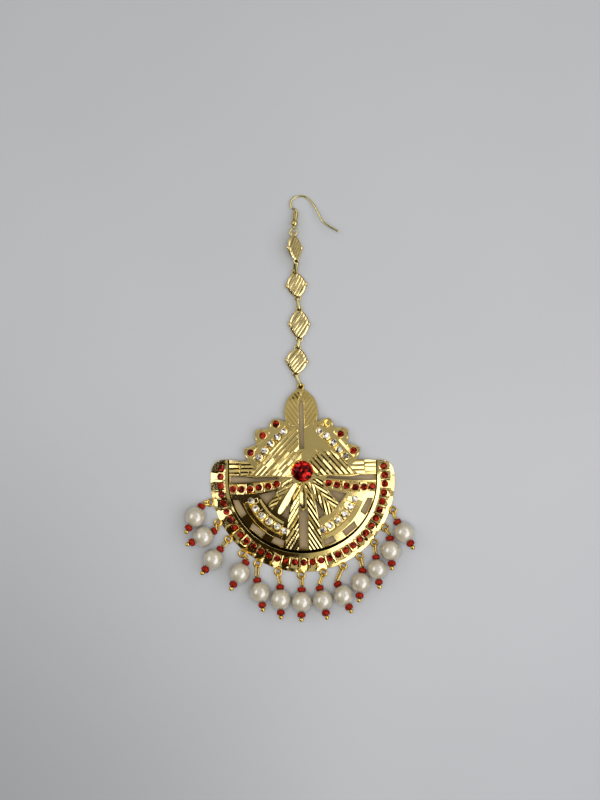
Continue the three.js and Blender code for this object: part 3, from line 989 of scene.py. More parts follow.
# How steep the cuts are, least and most, up to each direction in degrees from +X.
BEVEL_SLOPES = [
    (-157, 0.30, 0.45), (-112, 0.40, 0.50), (-80, 0.10, 0.55), (-30, 0.26, 0.46), (20, 0.05, 0.34),
]

FACETS = bevel_facets()
RIM_BARS = rim_bars()
RIM_PANELS = rim_panels()


def panel_height(x, y, turn):
    """The height of the panel under the nearest stone."""
    middle, fall, side = min(RIM_PANELS, key=lambda panel: abs(panel[0] - turn))
    a = math.radians(middle)
    out = x * math.cos(a) + y * math.sin(a)
    across = y * math.cos(a) - x * math.sin(a)
    return RIM["top"] - BAND["drop"] - fall * (out - BAND["inner"]) - side * across


def round_the_rim(x, y):
    """A place's distance from the rim's centre, and its direction from -270 to 90 degrees."""
    turn = math.degrees(math.atan2(y, x))
    return math.hypot(x, y), turn - 360 if turn > 90 else turn


def rim_height(x, y):
    """The rim's face: a lip that leans out round the lower half, a panel for each stone with a bar
    between each two, and the cuts along the outer edge."""
    radius, turn = round_the_rim(x, y)
    if radius < BAND["inner"]:
        lean = LIP["most"] * clamp(min(turn - LIP["from"], LIP["to"] - turn) / LIP["fade"])
        return RIM["top"] + lean * (BAND["inner"] - radius) - 0.1
    z = panel_height(x, y, turn)
    for place, wide, high in RIM_BARS:
        past = (turn - place) * math.radians(1) * radius / wide
        away = abs(past)
        if away < BARS["foot"]:
            crown = BARS["rise"] * high * (0.5 - BARS["lean"] * clamp(past / BARS["half"], -1))
            past_half, to_foot = away - BARS["half"], BARS["foot"] - away
            beside = min(max(past_half / BARS["edge"], 0), 1, to_foot / BARS["edge"])
            z += crown * (away < BARS["half"] + 0.01) - BARS["trench"] * high * max(beside, 0)
    for middle, half, start, slope in FACETS:
        if abs(turn - middle) <= half + 1e-6:
            a = math.radians(middle)
            out = x * math.cos(a) + y * math.sin(a)
            if out > start:
                z = min(z, BAND["edge"] - slope * (out - start))
    return max(z, RIM["thinnest"])


def beside_bar(x, y):
    """Whether a place is in one of the two trenches beside a bar, which get painted shade."""
    radius, turn = round_the_rim(x, y)
    if not BAND["inner"] < radius < BARS["reach"]:
        return False
    shares = [abs(turn - place) * math.radians(1) * radius / wide for place, wide, _ in RIM_BARS]
    return BARS["half"] < min(shares) < BARS["foot"]


def rim_creases():
    """The lip's edge, the bars between the stones, and the joints of the cuts."""
    edge = BARS["edge"]
    creases = [arc(radius, *RIM_SWEEP, 140) for radius in (BAND["inner"] - edge, BAND["inner"])]
    for place, wide, _ in RIM_BARS:
        steps = (BARS["foot"], BARS["foot"] - edge, BARS["half"] + edge, BARS["half"])
        for shift in [-step for step in steps] + [0, *steps[::-1]]:
            a = place + math.degrees(shift * wide / RIM_STONES["reach"])
            creases.append([polar(BAND["inner"], a), polar(BARS["reach"], a)])
    for middle, half, start, _ in FACETS:
        creases.append([polar(start - 0.1, middle - half), polar(RIM["outer"] + 1, middle - half)])
        reach = start / math.cos(math.radians(half))
        for shift in (0, edge):
            creases.append([polar(reach + shift, middle - half), polar(reach + shift, middle + half)])
    return creases


def rim_band(material, painted_shade_material):
    piece = Piece()
    outline = rim_outline()
    # The trenches beside the bars get painted shade.
    face = Area(outline, lambda x, y: 0.0, rim_creases(), 0.06, beside_bar)
    stamped(piece, outline, [], [face], rim_height, lambda x, y: 0.0, step=1.0, edge=(0.05, 0.05))

    top, tuck = 1.95, 0.1

    def loop(reach):
        side, end = reach(0), RIM["ledge"]
        return [(side, end)] + horseshoe(reach, 60) + [(-side, end)]

    def ledge(outer, inner, height, tone):
        ring = (loop(outer) + loop(inner)[::-1])[::-1]
        stamped(piece, ring, [], [], height, lambda x, y: RIM["thinnest"], grid=4, tone=tone)

    def slope(x, y):
        """The narrow trench between the fan and the rim: steep, so that it looks dark, and painted with
        shade as well.
        """
        turn = math.degrees(math.atan2(y, x)) if y < 0 else 0.0
        inner, outer = fan_reach(turn) - tuck, rim_inner(turn) + tuck
        radius = math.hypot(x, y) if y < 0 else abs(x)
        return top - 1.7 * clamp((radius - inner) / (outer - inner))

    # The trench's sloping ledge is all painted shade; the flat ledge under the fan's edge is plain gilt.
    ledge(lambda turn: rim_inner(turn) + tuck, lambda turn: fan_reach(turn) - tuck, slope, 1)
    ledge(lambda turn: fan_reach(turn) - tuck, lambda turn: fan_reach(turn) - 0.45, lambda x, y: top, 0)
    piece.make("rim_band", material, ["fan_plate"], sharp=11, second=painted_shade_material)


# ---- stones and their settings


def slope_at(x, y, height):
    """The upward direction of a surface given by a height."""
    step = 0.4
    dx = (height(x + step, y) - height(x - step, y)) / (2 * step)
    dy = (height(x, y + step) - height(x, y - step)) / (2 * step)
    return Vector((-dx, -dy, 1)).normalized()


def gem_foot(radius, bottom, girdle, belt):
    """A gem's point and its sixteen-sided girdle, with the faces up to the girdle's top."""
    verts = [(0, 0, bottom)] + ring_of(radius, girdle, 16) + ring_of(radius, girdle + belt, 16)
    faces = [[0, 1 + (i + 1) % 16, 1 + i] for i in range(16)]
    faces += [[1 + i, 1 + (i + 1) % 16, 17 + (i + 1) % 16, 17 + i] for i in range(16)]
    return verts, faces


def small_stone(radius):
    """A chaton: an eight-sided table, a faceted crown and a shallow back."""
    belt = 0.12
    verts, faces = gem_foot(radius, -0.35, 0.0, belt)
    verts += ring_of(radius * 0.56, belt + radius * 0.42, 8)
    for i in range(8):
        near, left, right = 17 + 2 * i, 17 + (2 * i - 1) % 16, 17 + (2 * i + 1) % 16
        faces += [[left, near, 33 + i], [near, right, 33 + i], [right, 33 + (i + 1) % 8, 33 + i]]
    faces.append([33 + i for i in range(8)])
    return verts, faces


# How wide the skirt of a setting is, by row.
SKIRT = {
    "rim_stones": 0.05, "crown_stones": 0.15, "upper_row_stones": 0.4, "bar_stones": 0.25,
    "lower_row_stones": 0.4,
}


def setting(piece, place, up, radius, spin, skirt):
    """A stone's low collar, with a skirt that slopes down to the sheet, and four grains raised over
    the stone's edge."""
    frame_matrix = laid_along(up, place, spin)
    outer = radius + skirt
    collar = [(radius - 0.1, -0.35), (outer, -0.35), (outer, 0.03 - 0.45 * skirt), (radius + 0.02, 0.04)]
    piece.add(*revolve(collar, 20), frame_matrix=frame_matrix)
    for a in turns_of(4):
        at = Vector(((radius + 0.04) * math.cos(a), (radius + 0.04) * math.sin(a), 0.08))
        piece.add(*ball(0.15, 8, 5), frame_matrix=frame_matrix @ Matrix.Translation(at))


def ball(radius, segments, rows, bore=0.0):
    """A sphere, bored along Z where a bore is given."""
    pole = math.asin(bore / radius)
    profile = []
    for i in range(rows + 1):
        a = pole + (math.pi - 2 * pole) * i / rows
        pole_point = bore == 0 and i in (0, rows)
        profile.append((0.0 if pole_point else radius * math.sin(a), -radius * math.cos(a)))
    return revolve(profile, segments)


def on_fan(x, y):
    """A point of the fan's face and the way it faces, in the plate's frame."""
    up = slope_at(x, y, dome)
    flat = turned((x, y))
    tilt = turned((up.x, up.y))
    return Vector((*flat, dome(x, y))), Vector((*tilt, up.z))


# How far the cusps' stones stand off the fan's face.
CROWN_LIFT = 0.17


def stone_rows():
    """Each row of small stones: its name, its places, the kind of stone and how far it is lifted."""
    rows = [
        ("crown_stones", CROWN_STONES[1:] + mirror(CROWN_STONES), "red", CROWN_LIFT),
        ("upper_row_stones", UPPER_ROW + mirror(UPPER_ROW), "clear", -0.05),
        ("bar_stones", BAR_ROW + mirror(BAR_ROW), "red", -0.05),
        ("lower_row_stones", LOWER_ROW + mirror(LOWER_ROW), "clear", -0.05),
    ]
    return [(name, [on_fan(*p) for p in places], kind, lift) for name, places, kind, lift in rows]


def rim_places():
    """Where the rim's stones sit, each on its panel, and the way that it faces."""
    made = []
    for turn, fall, side in RIM_PANELS:
        x, y = polar(RIM_STONES["reach"], turn)
        a = math.radians(turn)
        up = Vector((fall * math.cos(a) - side * math.sin(a), fall * math.sin(a) + side * math.cos(a), 1))
        made.append((Vector((x, y, panel_height(x, y, turn))), up.normalized()))
    return made


def stones_and_settings(red, clear, gilt, seat_gilt):
    draw = random.Random(5)
    settings = Piece()
    rows = stone_rows() + [("rim_stones", rim_places(), "red", 0.03)]
    for name, places, kind, lift in rows:
        stones = Piece()
        radius = SMALL_STONE[kind]
        for place, up in places:
            seat = place + up * lift
            lean = Vector((draw.uniform(-0.1, 0.1), draw.uniform(-0.1, 0.1), 0))
            frame_matrix = laid_along(up + lean, seat + up * 0.12, draw.uniform(0, math.pi))
            stones.add(*small_stone(radius), smooth=False, frame_matrix=frame_matrix)
            setting(settings, seat, up, radius, draw.uniform(0, math.pi / 2), SKIRT[name])
        stones.make(name, red if kind == "red" else clear)
    empty, up = on_fan(*CROWN_STONES[0])
    setting(settings, empty + up * CROWN_LIFT, up, SMALL_STONE["red"], 0.4, SKIRT["crown_stones"])
    settings.make("stone_settings", gilt, sharp=40)
    dish = Piece()
    hollow = [(0, -0.35), (1.36, -0.35), (1.36, 0.0), (1.0, -0.1), (0, -0.28)]
    dish.add(*revolve(hollow, 20), frame_matrix=laid_along(up + Vector((0.25, -0.1, 0)), empty + up * 0.2))
    dish.make("empty_seat", seat_gilt, sharp=40)


def centre_stone(material):
    """A brilliant-cut crown on a plain low back, inside the frame's own stone."""
    low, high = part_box("centre_stone")
    bottom, top = low[2] / MM, high[2] / MM
    middle = on_plate(box_middle("centre_stone"))
    radius, belt = STONE["radius"], 0.2
    girdle = bottom + 1.0
    crown = top - girdle - belt
    verts, faces = gem_foot(radius, bottom, girdle, belt)
    verts += ring_of(radius * 0.8, girdle + belt + crown * 0.55, 8, math.pi / 8)
    verts += ring_of(radius * 0.55, top, 8)
    for i in range(8):
        g0, g1, g2 = 17 + 2 * i, 17 + 2 * i + 1, 17 + (2 * i + 2) % 16
        m, m_before = 33 + i, 33 + (i - 1) % 8
        t, t_next = 41 + i, 41 + (i + 1) % 8
        faces += [[g0, g1, m], [g1, g2, m], [t, m, t_next], [t, m_before, g0, m]]
    faces.append([41 + i for i in range(8)])
    place = Matrix.Translation((middle.x, middle.y, 0)) @ Matrix.Rotation(0.2, 4, "Z")
    piece = Piece()
    piece.add(verts, faces, smooth=False, frame_matrix=place)
    piece.make("centre_brilliant", material, ["centre_stone"])


def centre_bezel(material):
    """The cup under the centre stone, with small claws bent over its girdle."""
    middle = on_plate(box_middle("centre_stone"))
    seat = dome(0, STONE["y"])
    radius = STONE["radius"]
    profile = [
        (radius - 1.0, -0.5), (radius - 0.1, -0.5), (radius + 0.12, 0.7), (radius + 0.1, 1.2),
        (radius + 0.02, 1.2), (radius - 0.3, 0.7),
    ]
    place = Matrix.Translation((middle.x, middle.y, seat))
    piece = Piece()
    piece.add(*revolve(profile, 48), frame_matrix=place)
    for a in turns_of(8):
        out = Vector((math.cos(a + 0.35), math.sin(a + 0.35), 0))
        bends = ((0.1, 0.3), (0.14, 1.3), (-0.22, 1.75))
        claw = [out * (radius + past) + UP * rise for past, rise in bends]
        piece.add(*tube(claw, 0.16, 8), frame_matrix=place)
    piece.make("centre_bezel", material, sharp=40)


# ---- the drops

# How each drop lies, as in the frame: where its eyelet is on the arc and which way its pin
# points, both in degrees from straight down.
DROPS = [
    {"eyelet": -76.3, "lean": -30},
    {"eyelet": -63.2, "lean": -65},
    {"eyelet": -51.4, "lean": -38},
    {"eyelet": -39.3, "lean": -30},
    {"eyelet": -28.3, "lean": 12},
    {"eyelet": -14.9, "lean": 2},
    {"eyelet": -0.8, "lean": -1},
    {"eyelet": 12.7, "lean": 14},
    {"eyelet": 25.2, "lean": 27},
    {"eyelet": 36.8, "lean": -7},
    {"eyelet": 48.8, "lean": 6},
    {"eyelet": 60.0, "lean": 2},
    {"eyelet": 71.5, "lean": 31},
]


def drop_axis(drop):
    lean, tilt = math.radians(drop["lean"]), math.radians(PIN["tilt"])
    return Vector((math.sin(lean) * math.cos(tilt), -math.cos(lean) * math.cos(tilt), math.sin(tilt)))


def eyelet_place(drop):
    a = math.radians(drop["eyelet"])
    return Vector((EYELET["reach"] * math.sin(a), -EYELET["reach"] * math.cos(a), EYELET["z"]))


def tip_eyelet_place():
    return Vector((*turned((0, TIP_EYELET["y"])), TIP_EYELET["z"]))


def seed_bead(radius, length, draw):
    """A small glass ring bead with rounded ends, not quite even."""
    half = length / 2
    radius = radius * draw.uniform(0.94, 1.03)
    profile = [
        (0.42, -half * 0.8), (0.75, -half), (radius - 0.45, -half * 0.97), (radius - 0.12, -half * 0.72),
        (radius, -half * 0.2), (radius, half * 0.25), (radius - 0.14, half * 0.74), (radius - 0.48, half),
        (0.75, half), (0.42, half * 0.8),
    ]
    return revolve(profile, 20)


def drops(pearl_material, gilt, seed_material):
    draw = random.Random(21)
    for i, drop in enumerate(DROPS):
        number = f"{i + 1:02d}"
        centre = on_plate(box_middle(f"pearl_{number}"))
        axis = drop_axis(drop)
        along = laid_along(axis, centre)

        pearl = ball(PEARL["radius"], 48, 28, PEARL["bore"])
        name, node = f"drop_pearl_{number}", f"pearl_{number}"
        one_part(name, pearl, pearl_material, node, along)

        face = PEARL["radius"] + BEAD["gap"]
        beads = Piece()
        for at, length in ((-PEARL["radius"] - 1.0, 1.85), (PEARL["radius"] + 1.1, 2.0)):
            tip = Matrix.Translation((draw.uniform(-0.1, 0.1), draw.uniform(-0.1, 0.1), at))
            tip = tip @ Matrix.Rotation(draw.uniform(-0.16, 0.16), 4, "X")
            beads.add(*seed_bead(BEAD["radius"], length, draw), frame_matrix=along @ tip)
        beads.make(f"seed_beads_{number}", seed_material)

        pin = Piece()
        neck = centre - axis * PIN["neck"]
        end = face + BEAD["length"] + PIN["ball"]
        shank = [neck, centre - axis * face, centre + axis * (end - 0.3)]
        pin.add(*tube(shank, PIN["wire"], 10))
        pin.add(*ball(PIN["ball"], 16, 10), frame_matrix=along @ Matrix.Translation((0, 0, end)))
        eyelet = eyelet_place(drop)
        reach = Vector((neck.x - eyelet.x, neck.y - eyelet.y, 0))
        short = min(PIN_EYE["inside"], reach.length - PIN_EYE["least"])
        far = eyelet + reach.normalized() * short
        roll = math.radians(draw.choice((-1, 1)) * draw.uniform(20, 50))
        eye = ring_between(neck, far, PIN_EYE["half_height"], roll)
        pin.add(*tube(eye, PIN_EYE["wire"], 8, closed=True))
        pin.make(f"drop_wire_{number}", gilt, [f"drop_pin_{number}"])


def eyelets(material):
    """The rings soldered to the rim, and the one at the leaf's tip."""
    piece = Piece()
    for drop in DROPS:
        place = eyelet_place(drop)
        turn = Matrix.Translation(place) @ Matrix.Rotation(math.radians(drop["eyelet"]), 4, "Z")
        ring = [turn @ p for p in oval(EYELET["radius"], EYELET["radius"], 28)]
        piece.add(*tube(ring, EYELET["wire"], 10, closed=True))
    radius = TIP_EYELET["radius"]
    ring = [tip_eyelet_place() + p for p in oval(radius, radius, 28)]
    piece.add(*tube(ring, TIP_EYELET["wire"], 10, closed=True))
    piece.make("plate_eyelets", material)


# ---- the links

# The links' sizes, leans and rolls, as in the frame.
LINKS = [
    {"width": 8.4, "height": 9.6, "lean": 6, "roll": 45, "crest": 0.2},
    {"width": 8.4, "height": 9.0, "lean": 7, "roll": 0, "crest": 0.8},
    {"width": 8.6, "height": 10.8, "lean": 1, "roll": 0, "crest": 0.8},
    {"width": 9.0, "height": 9.6, "lean": -4, "roll": 0, "crest": 0.8},
]


def link_frame(i):
    link = LINKS[i]
    place = on_plate(box_middle(f"link_{i + 1:02d}"))
    lean = Matrix.Rotation(math.radians(link["lean"]), 4, "Z")
    roll = Matrix.Rotation(math.radians(link["roll"]), 4, "Y")
    return Matrix.Translation(place) @ (lean @ roll)


def link_eye(i, side):
    reach = LINKS[i]["height"] / 2 + LINK["reach"]
    return link_frame(i) @ Vector((0, side * reach, 0))


def link_outline(width, height):
    """A rhombus with blunt corners and full, swelling sides."""
    corners = [(width / 2, 0), (0, height / 2), (-width / 2, 0), (0, -height / 2)]
    points = []
    for i, corner in enumerate(corners):
        a, b = Vector(corner), Vector(corners[(i + 1) % 4])
        for t in (0.05, 0.2, 0.35, 0.5, 0.65, 0.8, 0.95):
            swell = 1 + LINK["swell"] * math.sin(math.pi * t)
            points.append(tuple(a.lerp(b, t) * swell))
    return rounded(points)


def cushion(piece, width, height, crest, frame_matrix, seed):
    """A pillow pressed into slanting ribs with sharp valleys, the same on both faces. The crest is
    at a share of each rib's width."""
    outline = link_outline(width, height)
    along, across = axes_of(LINK["heading"])
    pitch, half, edge = LINK["pitch"], LINK["thickness"] / 2, LINK["edge"]

    plan = Plan(0.5)
    plan.line(outline, closed=True)
    for depth in (0.2, 0.6, 1.2, edge):
        plan.line(inset(outline, depth), closed=True)
    inner = inset(outline, 0.2)
    for n in range(-5, 6):
        for share in (0, 0.08, 0.25, 0.5, 0.8, 0.9, 0.95):
            for stretch in clipped(long_line(across * ((n + share) * pitch), along, 9), inner):
                plan.line(stretch)
    flat, faces, _ = divided(plan, outline)
    away = distance_to(flat, outline)
    rise = []
    for (x, y), gap in zip(flat, away):
        pillow = math.sqrt(max(0, 1 - (1 - min(gap / edge, 1)) ** 2))
        turns = (across.x * x + across.y * y) / pitch
        whole = math.floor(turns + 1e-6)
        share = turns - whole
        rib = 1 - (1 - (share / crest if share < crest else (1 - share) / (1 - crest))) ** 1.5
        rib *= abs(turns) < LINK["ribs"] / 2
        deep = 0.21 + 0.1 * wander(x, y, seed + whole * 0.5, 3)
        rise.append(0.0 if gap < 1e-3 else (half - 0.5) * pillow + deep * rib * min(1, gap / 0.5))
    used = sorted({i for face in faces for i in face})
    edges = {i for i in used if away[i] < 1e-3}
    top = {i: n for n, i in enumerate(used)}
    verts = [(*flat[i], rise[i]) for i in used]
    under = dict(top)
    for i in used:
        if i not in edges:
            under[i] = len(verts)
            verts.append((*flat[i], -rise[i]))
    upper = facing_up(verts, [[top[i] for i in face] for face in faces])
    back = {top[i]: under[i] for i in used}
    lower = [[back[i] for i in face[::-1]] for face in upper]
    # The ribs' valleys get the second material: painted shade.
    tones = []
    for face in upper:
        x, y = (sum(verts[i][k] for i in face) / 3 for k in (0, 1))
        turns = (across.x * x + across.y * y) / pitch
        tones.append(int((turns % 1 < 0.08 or turns % 1 > 0.9) and abs(turns) < LINK["ribs"] / 2 + 0.1))
    piece.add(verts, upper + lower, frame_matrix=frame_matrix, tones=tones * 2)


def links(material, painted_shade_material):
    for i, link in enumerate(LINKS):
        piece = Piece()
        frame_matrix = link_frame(i)
        height = link["height"] + LINK["longer"]
        cushion(piece, link["width"], height, link["crest"], frame_matrix, seed=3.1 * i)
        for side in (-1, 1):
            at = Matrix.Translation((side * (link["width"] / 2 - 0.4), 0, 0))
            piece.add(*ball(LINK["bump"], 14, 10), frame_matrix=frame_matrix @ at)
            centre = Vector((0, side * (link["height"] / 2 + LINK["reach"]), 0))
            ring = [frame_matrix @ (centre + p) for p in oval(LINK["eyelet"], LINK["eyelet"], 26)]
            piece.add(*tube(ring, LINK["wire"], 9, closed=True))
        name, node = f"link_cushion_{i + 1:02d}", f"link_{i + 1:02d}"
        piece.make(name, material, [node], sharp=42, second=painted_shade_material)


def jump_rings(material, shade_material):
    """The rings between the links and down to the leaf's tip. Their ends have the second material,
    painted shade that stands for dark reflections there.
    """
    tip = tip_eyelet_place()
    for i, link in enumerate(LINKS):
        end = link_eye(i + 1, 1) if i + 1 < len(LINKS) else tip
        roll = math.radians(link["roll"] / 2)
        start = link_eye(i, -1)
        ring = ring_between(start, end, JUMP_RING["half_height"], roll)
        piece = Piece()
        verts, faces = tube(ring, JUMP_RING["wire"], 10, closed=True)
        along = (end - start).normalized()
        shares = [along.dot(v - (start + end) / 2) for v in verts]
        # Faces of the ends past this share get painted shade.
        shaded = JUMP_RING["shaded"] * max(shares)
        tones = [int(abs(sum(shares[k] for k in face) / len(face)) > shaded) for face in faces]
        piece.add(verts, faces, tones=tones)
        name, node = f"jump_ring_wire_{i + 1:02d}", f"jump_ring_{i + 1:02d}"
        piece.make(name, material, [node], second=shade_material)


# ---- the hair hook

# The hook's bend past the coil, as distances from its loop's centre, and its flared tip.
HOOK_BEND = [
    (1.1, 9.6), (-0.7, 10.5), (-1.2, 12.7), (0.4, 15.1), (2.6, 15.7), (5.2, 15.3),
    (7.9, 12.7), (9.8, 9.5), (11.7, 5.6), (12.4, 4.5), (15.0, 2.4), (18.6, 0.3),
]


def smooth_line(points, steps):
    """A smooth open line through points."""
    tension = 0.4
    points = [Vector(p) for p in points]
    made = []
    for i in range(len(points) - 1):
        a, b = points[i], points[i + 1]
        before = points[i - 1] if i else a * 2 - b
        after = points[i + 2] if i + 2 < len(points) else b * 2 - a
        m1, m2 = (b - before) * tension, (after - a) * tension
        for k in range(steps):
            t = k / steps
            made.append(a * (2 * t**3 - 3 * t**2 + 1) + m1 * (t**3 - 2 * t**2 + t)
                        + b * (3 * t**2 - 2 * t**3) + m2 * (t**3 - t**2))
    return made + [points[-1]]


def hair_hook(material):
    stem = Vector((*HOOK_BEND[0], 0)).normalized()
    slope = Matrix.Rotation(-math.radians(HOOK["slope"]), 4, "X")
    loop = on_plate(box_middle("hook_bead")) - (slope @ stem) * HOOK["bead_at"]
    frame_matrix = Matrix.Translation(loop) @ slope

    line = smooth_line([stem * 1.5, stem * 4, stem * 7] + [(x, y, 0) for x, y in HOOK_BEND], 8)
    wire = Piece()
    wire.add(*tube(line, HOOK["wire"], 14), frame_matrix=frame_matrix)
    loop_wire = tube(oval(HOOK["loop"], HOOK["loop"], 36), HOOK["wire"], 12, closed=True)
    wire.add(*loop_wire, frame_matrix=frame_matrix)
    wire.make("hook_wire", material, ["ear_hook"])

    side = stem.cross(UP)
    steps = COIL["turns"] * 16
    helix = []
    for i in range(steps + 1):
        a = 2 * math.pi * i / 16
        at = COIL["from"] + (COIL["to"] - COIL["from"]) * i / steps
        helix.append(stem * at + (side * math.cos(a) + UP * math.sin(a)) * COIL["radius"])
    coil = tube(helix, COIL["wire"], 8)
    one_part("hook_coil_wire", coil, material, "hook_coil", frame_matrix)
    at = frame_matrix @ laid_along(stem, stem * HOOK["bead_at"])
    one_part("hook_ball", ball(HOOK["bead"], 28, 18, 0.5), material, "hook_bead", at)


# ---- materials


def new_node(tree, kind, **settings):
    """A node of a tree, with its own settings given by name."""
    node = tree.nodes.new("ShaderNode" + kind)
    for name, value in settings.items():
        setattr(node, name, value)
    return node


def mixed(tree, share, a, b, kind="MIX"):
    """Two colours mixed: each value is a number, a colour or another node's output."""
    node = new_node(tree, "Mix", data_type="RGBA", blend_type=kind)
    for value, socket in ((share, node.inputs["Factor"]), (a, node.inputs[6]), (b, node.inputs[7])):
        if isinstance(value, (int, float)):
            socket.default_value = value
        elif isinstance(value, tuple):
            socket.default_value = (*value, 1)
        else:
            tree.links.new(value, socket)
    return node.outputs[2]


class Nodes:
    """A material's node tree, with short calls for the nodes used here."""

    def __init__(self, name):
        self.material = bpy.data.materials.new(name)
        self.material.use_nodes = True
        self.tree = self.material.node_tree
        self.shader = self.tree.nodes["Principled BSDF"]
        coords = new_node(self.tree, "TexCoord")
        scale = new_node(self.tree, "VectorMath", operation="SCALE")
        scale.inputs["Scale"].default_value = 1 / MM
        self.link(coords.outputs["Object"], scale.inputs[0])
        self.mm = scale.outputs[0]

    def link(self, source, target):
        self.tree.links.new(source, target)

    def set(self, **values):
        for name, value in values.items():
            self.shader.inputs[name.replace("_", " ")].default_value = value

    def placed(self, kind, vector=None, **values):
        """A node that reads a place in mm, or another vector, with its inputs set by name."""
        node = new_node(self.tree, kind)
        for name, value in values.items():
            node.inputs[name].default_value = value
        self.link(vector or self.mm, node.inputs["Vector"])
        return node

    def stretch(self, x, y, z, turn):
        return self.placed("Mapping", Scale=(x, y, z), Rotation=(0, 0, turn)).outputs[0]

    def noise(self, scale, detail, roughness=0.55, vector=None):
        node = self.placed("TexNoise", vector, Scale=scale, Detail=detail, Roughness=roughness)
        return node.outputs["Fac"]

    def away(self, x, y, reach):
        """The distance in mm from a point of the table, as a share of a reach."""
        node = new_node(self.tree, "VectorMath", operation="DISTANCE")
        node.inputs[1].default_value = (x, y, 0.0)
        self.link(self.mm, node.inputs[0])
        share = new_node(self.tree, "Math", operation="DIVIDE")
        share.inputs[1].default_value = reach
        self.link(node.outputs["Value"], share.inputs[0])
        return share.outputs[0]

    def ramp(self, value, stops, smooth=False):
        node = new_node(self.tree, "ValToRGB")
        ramp = node.color_ramp
        ramp.interpolation = "EASE" if smooth else "LINEAR"
        while len(ramp.elements) < len(stops):
            ramp.elements.new(0.5)
        for element, (at, colour) in zip(ramp.elements, stops):
            element.position = at
            element.color = (*colour, 1) if isinstance(colour, tuple) else (colour, colour, colour, 1)
        self.link(value, node.inputs["Fac"])
        return node.outputs["Color"]

    def mix(self, share, a, b, kind="MIX"):
        return mixed(self.tree, share, a, b, kind)

    def bump(self, height, strength, distance):
        node = new_node(self.tree, "Bump")
        node.inputs["Strength"].default_value = strength
        node.inputs["Distance"].default_value = distance * MM
        self.link(height, node.inputs["Height"])
        self.link(node.outputs["Normal"], self.shader.inputs["Normal"])


def gilt(name, bright, deep, low, high, scratch):
    """Plated metal: two tones of gold in soft patches, uneven polish and hairline scratches."""
    n = Nodes(name)
    n.set(Metallic=1.0)
    patches = n.ramp(n.noise(0.22, 4), [(0.35, 0.0), (0.7, 1.0)])
    n.link(n.mix(patches, bright, deep), n.shader.inputs["Base Color"])
    polish = n.ramp(n.noise(1.3, 5, 0.65), [(0.3, low), (0.75, high)])
    n.link(polish, n.shader.inputs["Roughness"])
    lines = n.mix(0.5, n.noise(1.0, 2, vector=n.stretch(14, 0.7, 3, 0.6)),
                  n.noise(1.0, 2, vector=n.stretch(0.6, 11, 3, 0.25)))
    n.bump(n.mix(0.4, lines, n.noise(5.0, 3)), scratch, 0.05)
    return n.material


def rhinestone(name, tones, gloss, size):
    """Foil-backed glass: each facet holds painted reflections, patches of light and dark in its colour,
    under its gloss.
    """
    n = Nodes(name)
    n.set(Roughness=0.15, Specular_IOR_Level=gloss)
    split = new_node(n.tree, "SeparateColor")
    # Painted reflections: Voronoi cells of light and dark tones.
    n.link(n.placed("TexVoronoi", Scale=size).outputs["Color"], split.inputs["Color"])
    stops = [((i + 0.5) / len(tones), tone) for i, tone in enumerate(tones)]
    n.link(n.ramp(split.outputs[0], stops), n.shader.inputs["Base Color"])
    return n


def red_glass():
    tones = [(0.012, 0.001, 0.0), (0.055, 0.002, 0.0), (0.13, 0.004, 0.001), (0.26, 0.018, 0.006)]
    return rhinestone("red_rhinestone", tones, 0.07, 1.0).material


def clear_glass():
    tones = [(0.06, 0.05, 0.03), (0.28, 0.25, 0.19), (0.57, 0.53, 0.45), (0.9, 0.87, 0.8)]
    n = rhinestone("clear_rhinestone", tones, 0.7, 1.3)
    n.set(Metallic=0.35)
    return n.material


def centre_glass():
    tones = [
        (0.007, 0.0, 0.0), (0.03, 0.001, 0.0), (0.085, 0.001, 0.001), (0.22, 0.004, 0.002),
        (0.48, 0.015, 0.01),
    ]
    return rhinestone("centre_stone_glass", tones, 0.08, 0.85).material


def pearl_coat():
    """Imitation pearl: ivory lacquer with faint clouds under a bright nacre gloss."""
    n = Nodes("pearl_coat")
    n.set(Roughness=0.38, Metallic=0.15, Coat_Weight=1.0, Coat_Roughness=0.16, Coat_IOR=2.2)
    clouds = n.ramp(n.noise(0.3, 3), [(0.3, (0.285, 0.25, 0.175)), (0.7, (0.36, 0.32, 0.235))], smooth=True)
    n.link(clouds, n.shader.inputs["Base Color"])
    n.bump(n.noise(1.2, 3), 0.1, 0.05)
    return n.material


def seed_glass():
    """Opaque red glass, a little streaky, fire-polished."""
    n = Nodes("seed_glass")
    n.set(Roughness=0.2, Specular_IOR_Level=0.09)
    streaks = n.ramp(n.noise(1.4, 3), [(0.3, (0.07, 0.002, 0.0)), (0.75, (0.26, 0.010, 0.001))])
    n.link(streaks, n.shader.inputs["Base Color"])
    n.bump(n.noise(2.5, 2), 0.1, 0.08)
    return n.material


def table_top():
    """Pale matt board with painted light and shade: a painted pool of light at a spot at the
    object's right that darkens away from it, a painted shadow towards one corner, and the faintest mottle."""
    n = Nodes("table_top")
    n.set(Roughness=0.85)

    # Painted light: a pool of light at the object's right that falls off with distance.
    fall = n.ramp(n.away(85.0, -20.0, 300.0), [(0.0, (0.298, 0.298, 0.30)), (1.0, (0.248, 0.252, 0.253))])
    # Painted shadow towards one corner.
    corner = n.ramp(n.away(-150.0, -180.0, 200.0), [(0.0, 0.72), (1.0, 1.0)], smooth=True)
    mottle = n.ramp(n.noise(0.006, 2), [(0.3, 0.96), (0.7, 1.0)], smooth=True)
    shade = n.mix(1.0, corner, mottle, "MULTIPLY")
    n.link(n.mix(1.0, fall, shade, "MULTIPLY"), n.shader.inputs["Base Color"])
    return n.material


